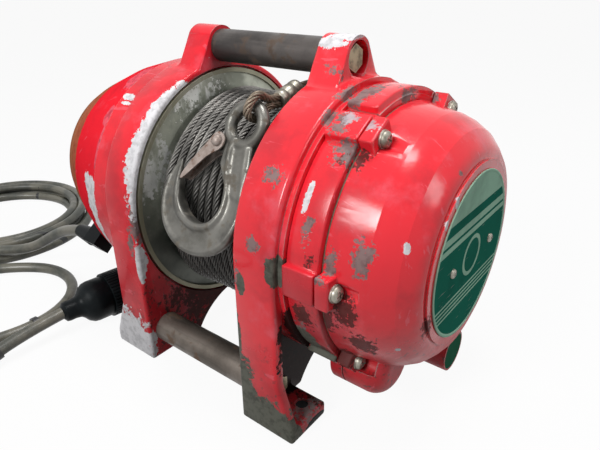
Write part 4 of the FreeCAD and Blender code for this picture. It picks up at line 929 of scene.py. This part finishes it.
# %% Rope end
ROPE_END_MM = (
    (29.0, 71.0, 192.6), (33.0, 52.4, 210.7), (36.0, 29.8, 224.6), (38.0, 5.2, 232.9), (38.0, -17.0, 232.2),
    (38.0, -37.3, 223.1), (38.6, -50.3, 225.0), (34.6, -55.8, 214.7), (34.6, -70.4, 222.5),
    (40.2, -62.8, 236.9), (38.0, -46.7, 226.9), (38.0, -39.0, 229.1))
FERRULE_CENTRE = Vector((38, -27.56, 229.13)) * MM
FERRULE_AHEAD = Vector((0, -0.961, -0.276))


def turned_piece(name, profile_mm, steps=48):
    """A turned shape: (radius, height) points spun about Z, with merged seams and faces turned outwards."""
    mesh = bpy.data.meshes.new(name)
    places = [(radius * MM, 0, height * MM) for radius, height in profile_mm]
    mesh.from_pydata(places, [(i, i + 1) for i in range(len(places) - 1)], [])
    piece = add_object(name, mesh)
    pick(piece)
    set_mode("EDIT")
    bpy.ops.mesh.select_all(action="SELECT")
    bpy.ops.mesh.spin(steps=steps, angle=2 * math.pi, center=(0, 0, 0), axis=(0, 0, 1))
    bpy.ops.mesh.select_all(action="SELECT")
    bpy.ops.mesh.remove_doubles(threshold=MERGE_REACH)
    bpy.ops.mesh.normals_make_consistent(inside=False)
    set_mode("OBJECT")
    return piece


def stand(piece, place, ahead):
    """Moves a piece modelled on Z to its place, with Z along ahead."""
    piece.matrix_world = Matrix.Translation(place) @ ahead.to_track_quat("Z", "Y").to_matrix().to_4x4()
    return piece


rope_line = nurbs_line("rope_end_line", [Vector(p) * MM for p in ROPE_END_MM], 0, 10)
rope_path = line_points(rope_line)
bpy.data.objects.remove(rope_line)
rope_end = dress(laid_strands("rope_end", rope_path, 1), "winch", brown_rope, ("rope_tail",), 80)
ferrule = turned_piece("rope_sleeve", [
    (0, -11), (5.2, -11), (6.1, -10), (6.4, -8.5), (6.4, -6), (5.7, -5), (5.7, -3.6), (6.4, -2.6), (6.4, 2.6),
    (5.7, 3.6), (5.7, 5), (6.4, 6), (6.4, 8.5), (6.1, 10), (5.2, 11), (0, 11)], 32)
dress(stand(ferrule, FERRULE_CENTRE, FERRULE_AHEAD), "winch", plated_steel, ("rope_ferrule",))
print("rope end", round(run_length(rope_path), 3), "m")

# %% [markdown]
# ## Hook and latch
# The hook is a forging: one bar bent round the bowl, thick along its inner edge, that swells into a shank and
# an eye. A section with that raised edge is swept along the bar and the pieces are fused by a voxel Remesh,
# which gives the soft joints of forged steel.

# %% Hook
HOOK_TO_WINCH = (Matrix.Translation(Vector((14.5, -90.496, 167.074)) * MM)
                 @ Matrix.Rotation(math.radians(62), 4, "X") @ Matrix.Rotation(math.radians(-19), 4, "Z"))
# Each point of the bar: its place in the hook's plane and the bar's width there, in mm.
HOOK_BAR = (
    (-37.6, 7.5, 3), (-36.2, 1, 8.5), (-33.8, -6, 13), (-30.4, -13.5, 17), (-24.4, -22, 20.5),
    (-13.5, -29.6, 23), (1, -32, 24), (15.5, -28.6, 24), (27, -18.5, 23), (30, -4, 21), (26.5, 8, 18),
    (20, 18, 17), (13, 28, 18), (7.5, 38, 19), (4, 47, 16))
BAR_SECTION = (
    (-0.5, 0), (-0.49, 0.15), (-0.45, 0.25), (-0.37, 0.29), (-0.28, 0.27), (-0.2, 0.17), (0.0, 0.155),
    (0.24, 0.165), (0.35, 0.215), (0.43, 0.19), (0.48, 0.1), (0.5, 0))
SHANK_PLATE = ((24, 12), (30, 13), (27.5, 19), (21, 36), (16, 44.5), (-8, 44.5), (-5, 39), (-3.4, 33),
               (-0.6, 25), (8, 18), (16, 13.5))
LATCH_EAR = ((-2, 41), (-8, 41.5), (-13, 42), (-17, 39.5), (-18, 36), (-17, 32.5), (-13, 30), (-8, 30.5),
             (-2, 31))
EYE_RADIUS, EYE_BAR_RADIUS, EYE_HEIGHT = 14 * MM, 4.5 * MM, 56 * MM


def flat_curve(name, points_mm, half_thickness, edge, closed=True, smooth=False):
    """A flat outline in the hook's own plane, filled and given a thickness, as a mesh."""
    data = bpy.data.curves.new(name, "CURVE")
    data.dimensions, data.fill_mode = "2D", "BOTH" if closed else "NONE"
    data.extrude, data.bevel_depth, data.bevel_resolution = half_thickness * MM, edge * MM, 2
    spline = add_spline(data, "NURBS" if smooth else "POLY", [(u * MM, v * MM, 0) for u, v in points_mm])
    if smooth:
        spline.order_u, spline.resolution_u = 3, 5
        spline.use_endpoint_u = not closed
    spline.use_cyclic_u = closed
    return as_mesh(name, data)


def swept_bar():
    """The section drawn along the bar's line, as wide as each point says."""
    section = bpy.data.curves.new("bar_section", "CURVE")
    section.dimensions = "2D"
    ring = list(BAR_SECTION) + [(a, -b) for a, b in BAR_SECTION[-2:0:-1]]
    add_spline(section, "POLY", [(a, b, 0) for a, b in ring]).use_cyclic_u = True
    section_object = add_object("bar_section", section)
    data = bpy.data.curves.new("hook_bar", "CURVE")
    data.dimensions, data.fill_mode, data.use_fill_caps = "2D", "NONE", True
    data.bevel_mode, data.bevel_object = "OBJECT", section_object
    spline = add_spline(data, "NURBS", [(u * MM, v * MM, 0) for u, v, width in HOOK_BAR])
    for point, (u, v, width) in zip(spline.points, HOOK_BAR):
        point.radius = width * MM
    spline.order_u, spline.use_endpoint_u, spline.resolution_u = 3, True, 8
    bar = as_mesh("hook_bar", data)
    bpy.data.objects.remove(section_object)
    return bar


def forged_hook():
    """The bar, the shank, the latch's ear and the eye, fused and smoothed."""
    parts = [swept_bar(), flat_curve("shank_plate", SHANK_PLATE, 2.0, 1.4),
             flat_curve("latch_ear", LATCH_EAR, 1.2, 0.3)]
    select_nothing()
    bpy.ops.mesh.primitive_torus_add(major_radius=EYE_RADIUS, minor_radius=EYE_BAR_RADIUS, major_segments=64,
                                     minor_segments=20, location=(0, EYE_HEIGHT, 0))
    eye = bpy.context.object
    for part in parts:
        part.select_set(True)
    bpy.ops.object.join()
    eye.name = "forged_hook"
    apply_place(eye)
    remesh = eye.modifiers.new("fused", "REMESH")
    remesh.mode, remesh.voxel_size = "VOXEL", 0.85 * MM
    soft = eye.modifiers.new("forged", "SMOOTH")
    soft.factor, soft.iterations = 0.5, 5
    apply_all(eye)
    eye.matrix_world = HOOK_TO_WINCH
    return eye


hook = dress(forged_hook(), "hook", forged_steel, ("hook",), 80)
print("hook", len(hook.data.polygons), "faces")

# %% Latch
LATCH_CHEEK = (
    (-17.8, 37.5), (-16, 41.2), (-12, 42.4), (-7.4, 41), (-5.6, 36.5), (-7, 31.5), (-11, 27.4), (-14.6, 21),
    (-18, 13), (-21.6, 4), (-24, -1.4), (-25.4, -2.4), (-26.4, -1), (-26.2, 4), (-24.4, 13), (-22, 22),
    (-19.4, 30.5))
LATCH_BACK = ((-25.8, -1.6), (-25.7, 4), (-23.9, 13), (-21.5, 22), (-19.2, 29))
RIVET_MM = ((0, -8.6), (2.2, -8.4), (3.6, -7.4), (4.1, -6), (4.1, -5.3), (2.45, -5.3), (2.45, 5.3),
            (4.1, 5.3), (4.1, 6), (3.6, 7.4), (2.2, 8.4), (0, 8.6))
RIVET_PLACE, CHEEK_OFFSET = Vector((-12, 36, 0)) * MM, 4.25 * MM


def sheet_latch():
    """Two curved cheeks and the folded back between them."""
    cheeks = []
    for side in (-1, 1):
        cheek = flat_curve("latch_cheek", LATCH_CHEEK, 0.5, 0.2, smooth=True)
        cheek.location.z = side * CHEEK_OFFSET
        cheeks.append(cheek)
    back = flat_curve("latch_back", LATCH_BACK, 4.2, 0, closed=False, smooth=True)
    wall = back.modifiers.new("sheet", "SOLIDIFY")
    wall.thickness, wall.offset = 1.3 * MM, 0
    apply_all(back)
    for cheek in cheeks:
        cheek.select_set(True)
    bpy.ops.object.join()
    apply_place(back)
    back.name = "sheet_latch"
    back.matrix_world = HOOK_TO_WINCH
    return back


latch = dress(sheet_latch(), "latch", latch_sheet, ("hook_latch",))
rivet = turned_piece("latch_rivet", RIVET_MM, 28)
rivet.matrix_world = HOOK_TO_WINCH @ Matrix.Translation(RIVET_PLACE)
dress(rivet, "hook", latch_sheet, ("latch_pin",))
print("latch", len(latch.data.polygons), "faces")

# %% [markdown]
# ## Cover screws and plate
# The cover is held by pan-head screws with a cross recess. One head is modelled and copied to each boss, and a
# smaller copy holds the round plate. The plate has a thin raised rim and a plain banded design.

# %% Cover screws
COVER_SCREWS_MM = ((48.25, 216.6), (-48.25, 216.6), (-96.5, 133), (-64.6, 61.3), (96.5, 133), (48.25, 49.4))
COVER_SCREW_SEAT, PLATE_FACE = 128.2 * MM, 173.8 * MM
PLATE_SCREW_REACH, PLATE_SCREW_SINK, PLATE_SCREW_SCALE = 32 * MM, 0.3 * MM, 0.62
PAN_HEAD_MM = ((0, -1), (5.3, -1), (5.4, 0.6), (5.15, 1.7), (4.4, 2.6), (3.2, 3.1), (0, 3.3))


def pan_head():
    """One head on Z: a low cylinder with a rounded crown and a cross cut into it."""
    head = turned_piece("pan_head", PAN_HEAD_MM, 32)
    for turn in (0, math.pi / 2):
        select_nothing()
        bpy.ops.mesh.primitive_cube_add(size=1, location=(0, 0, 2.9 * MM), rotation=(0, 0, turn + 0.4))
        slot = bpy.context.object
        slot.scale = (6.2 * MM, 1.3 * MM, 2.4 * MM)
        cut = head.modifiers.new("cross", "BOOLEAN")
        cut.operation, cut.object = "DIFFERENCE", slot
        apply_all(head)
        bpy.data.objects.remove(slot)
    return head


def screw_set(name, head, places, size):
    """Copies of one head, each with its own mesh and turn, joined into one piece."""
    copies = []
    for k, place in enumerate(places):
        copy = add_object(name, head.data.copy())
        copy.matrix_world = (Matrix.Translation(place) @ Matrix.Rotation(math.pi / 2, 4, "Y")
                             @ Matrix.Rotation(0.7 * k, 4, "Z") @ Matrix.Scale(size, 4))
        copies.append(copy)
    pick(copies[0])
    for copy in copies:
        copy.select_set(True)
    bpy.ops.object.join()
    return copies[0]


head = pan_head()
cover_places = [Vector((COVER_SCREW_SEAT, y * MM, z * MM)) for y, z in COVER_SCREWS_MM]
cover_heads = screw_set("cover_screw_heads", head, cover_places, 1)
dress(cover_heads, "winch", plated_steel, ("cover_screws",))
plate_places = [Vector((PLATE_FACE - PLATE_SCREW_SINK, y, DRUM_AXIS))
                for y in (-PLATE_SCREW_REACH, PLATE_SCREW_REACH)]
plate_heads = screw_set("plate_screw_heads", head, plate_places, PLATE_SCREW_SCALE)
dress(plate_heads, "winch", plated_steel, ("nameplate_screws",))
bpy.data.objects.remove(head)
print("screws", len(COVER_SCREWS_MM) + 2)

# %% Round plate
PLATE_RADIUS, PLATE_THICKNESS = 59.2 * MM, 1 * MM
PLATE_PALE, PLATE_DARK = (0.42, 0.68, 0.52), (0.022, 0.18, 0.125)
PLATE_RIM_MM, PLATE_HUB_MM = (56.8, 80), (12, 15)
PLATE_BANDS_MM = ((18, 22), (24, 29), (36, 60), (-22.5, -21), (-26, -24.5), (-29.5, -28), (-33, -31.5))


def select_faces(piece, wanted):
    """Edit mode with only the wanted faces selected."""
    pick(piece)
    set_mode("EDIT")
    bpy.ops.mesh.select_mode(type="FACE")
    bpy.ops.mesh.select_all(action="DESELECT")
    set_mode("OBJECT")
    for polygon in piece.data.polygons:
        polygon.select = wanted(polygon)
    set_mode("EDIT")


def round_plate():
    select_nothing()
    bpy.ops.mesh.primitive_cylinder_add(vertices=128, radius=PLATE_RADIUS, depth=PLATE_THICKNESS,
                                        location=(PLATE_FACE - PLATE_THICKNESS / 2, 0, DRUM_AXIS),
                                        rotation=(0, math.pi / 2, 0))
    plate = bpy.context.object
    plate.name = "round_plate"
    apply_place(plate)
    select_faces(plate, lambda face: face.normal.x > 0.9)
    bpy.ops.mesh.inset(thickness=1.5 * MM, depth=0)
    bpy.ops.mesh.inset(thickness=0.4 * MM, depth=-0.35 * MM)
    set_mode("OBJECT")
    return soften(plate, 0.25)


def inside(tree, value, limits_mm):
    """1 where a value lies between two limits."""
    low, high = (limit * MM for limit in limits_mm)
    return times(tree, arithmetic(tree, "GREATER_THAN", value, low),
                 arithmetic(tree, "LESS_THAN", value, high))


def plate_finish():
    """Dark green with pale bands and a pale rim, scratched and faded."""
    material, tree, shader, place = new_finish("plate_green")
    out, up = from_axis(tree, place)
    bands = arithmetic(tree, "MAXIMUM", inside(tree, out, PLATE_RIM_MM), inside(tree, out, PLATE_HUB_MM))
    for limits in PLATE_BANDS_MM:
        bands = arithmetic(tree, "MAXIMUM", bands, inside(tree, up, limits))
    cloud = clouds(tree, place, 30.0, 0.42, 0.3)
    colour = layer(tree, bands, PLATE_DARK, PLATE_PALE)
    colour = tint(tree, colour, cloud, 0.25, (0.02, 0.045, 0.034))
    scratch = mask_of(tree, STREAKS, place, Stretch=(40, 40, 520), Level=0.64, Softness=0.04)
    colour = tint(tree, colour, scratch, 0.5, (0.42, 0.46, 0.42))
    fill_shader(tree, shader, colour, level(tree, cloud, 0.3, 0.42), 0.0, scratch, 0.1, 0.2 * MM)
    shader.inputs["Specular IOR Level"].default_value = 0.0
    return material


plate = dress(round_plate(), "winch", plate_finish(), ("nameplate",))
print("plate", len(plate.data.polygons), "faces")

# %% [markdown]
# ## Plug
# The plug is a black rubber body with a soft boot at its rear and a ribbed collar. The body is turned from one
# profile, and the collar's ribs are every other side face of a cylinder, pushed outwards.

# %% Plug
PLUG_BODY_MM = ((0, -1), (6.0, -1), (7.2, 0), (9.0, 1.2), (9.6, 4), (9.4, 9), (10.2, 14), (12.6, 17),
                (16.6, 20), (19.2, 24), (20, 28), (20, 40), (19.2, 41.5), (19.2, 61.5), (18.8, 63.2),
                (17.6, 64), (0, 64))
COLLAR_RIBS = 44
COLLAR_RADIUS, COLLAR_LENGTH, COLLAR_MIDDLE, RIB_HEIGHT = (size * MM for size in (20.9, 18.5, 51.5, 0.9))


def ribbed_collar():
    select_nothing()
    bpy.ops.mesh.primitive_cylinder_add(vertices=2 * COLLAR_RIBS, radius=COLLAR_RADIUS, depth=COLLAR_LENGTH,
                                        location=(0, 0, COLLAR_MIDDLE))
    collar = bpy.context.object
    collar.name = "plug_ribbed_collar"
    apply_place(collar)
    step = math.pi / COLLAR_RIBS
    select_faces(collar, lambda face: abs(face.normal.z) < 0.5
                 and int((math.atan2(face.center.y, face.center.x) + 2 * math.pi) / step) % 2 == 0)
    bpy.ops.mesh.extrude_region_shrink_fatten(TRANSFORM_OT_shrink_fatten={"value": RIB_HEIGHT})
    set_mode("OBJECT")
    return soften(collar, 0.3)


plug_body = stand(turned_piece("plug_rubber_body", PLUG_BODY_MM), PLUG_REAR, PLUG_AHEAD)
dress(plug_body, "winch", black_rubber, ("plug_body",))
collar = stand(ribbed_collar(), PLUG_REAR, PLUG_AHEAD)
dress(collar, "winch", black_rubber, ("plug_collar",))
print("plug", len(plug_body.data.polygons) + len(collar.data.polygons), "faces")

# %% Cord finish
cord.data.materials.append(cord_jacket)
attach(cord, "winch")
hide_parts("cord_lead", "cord_coil", "cord_tail")
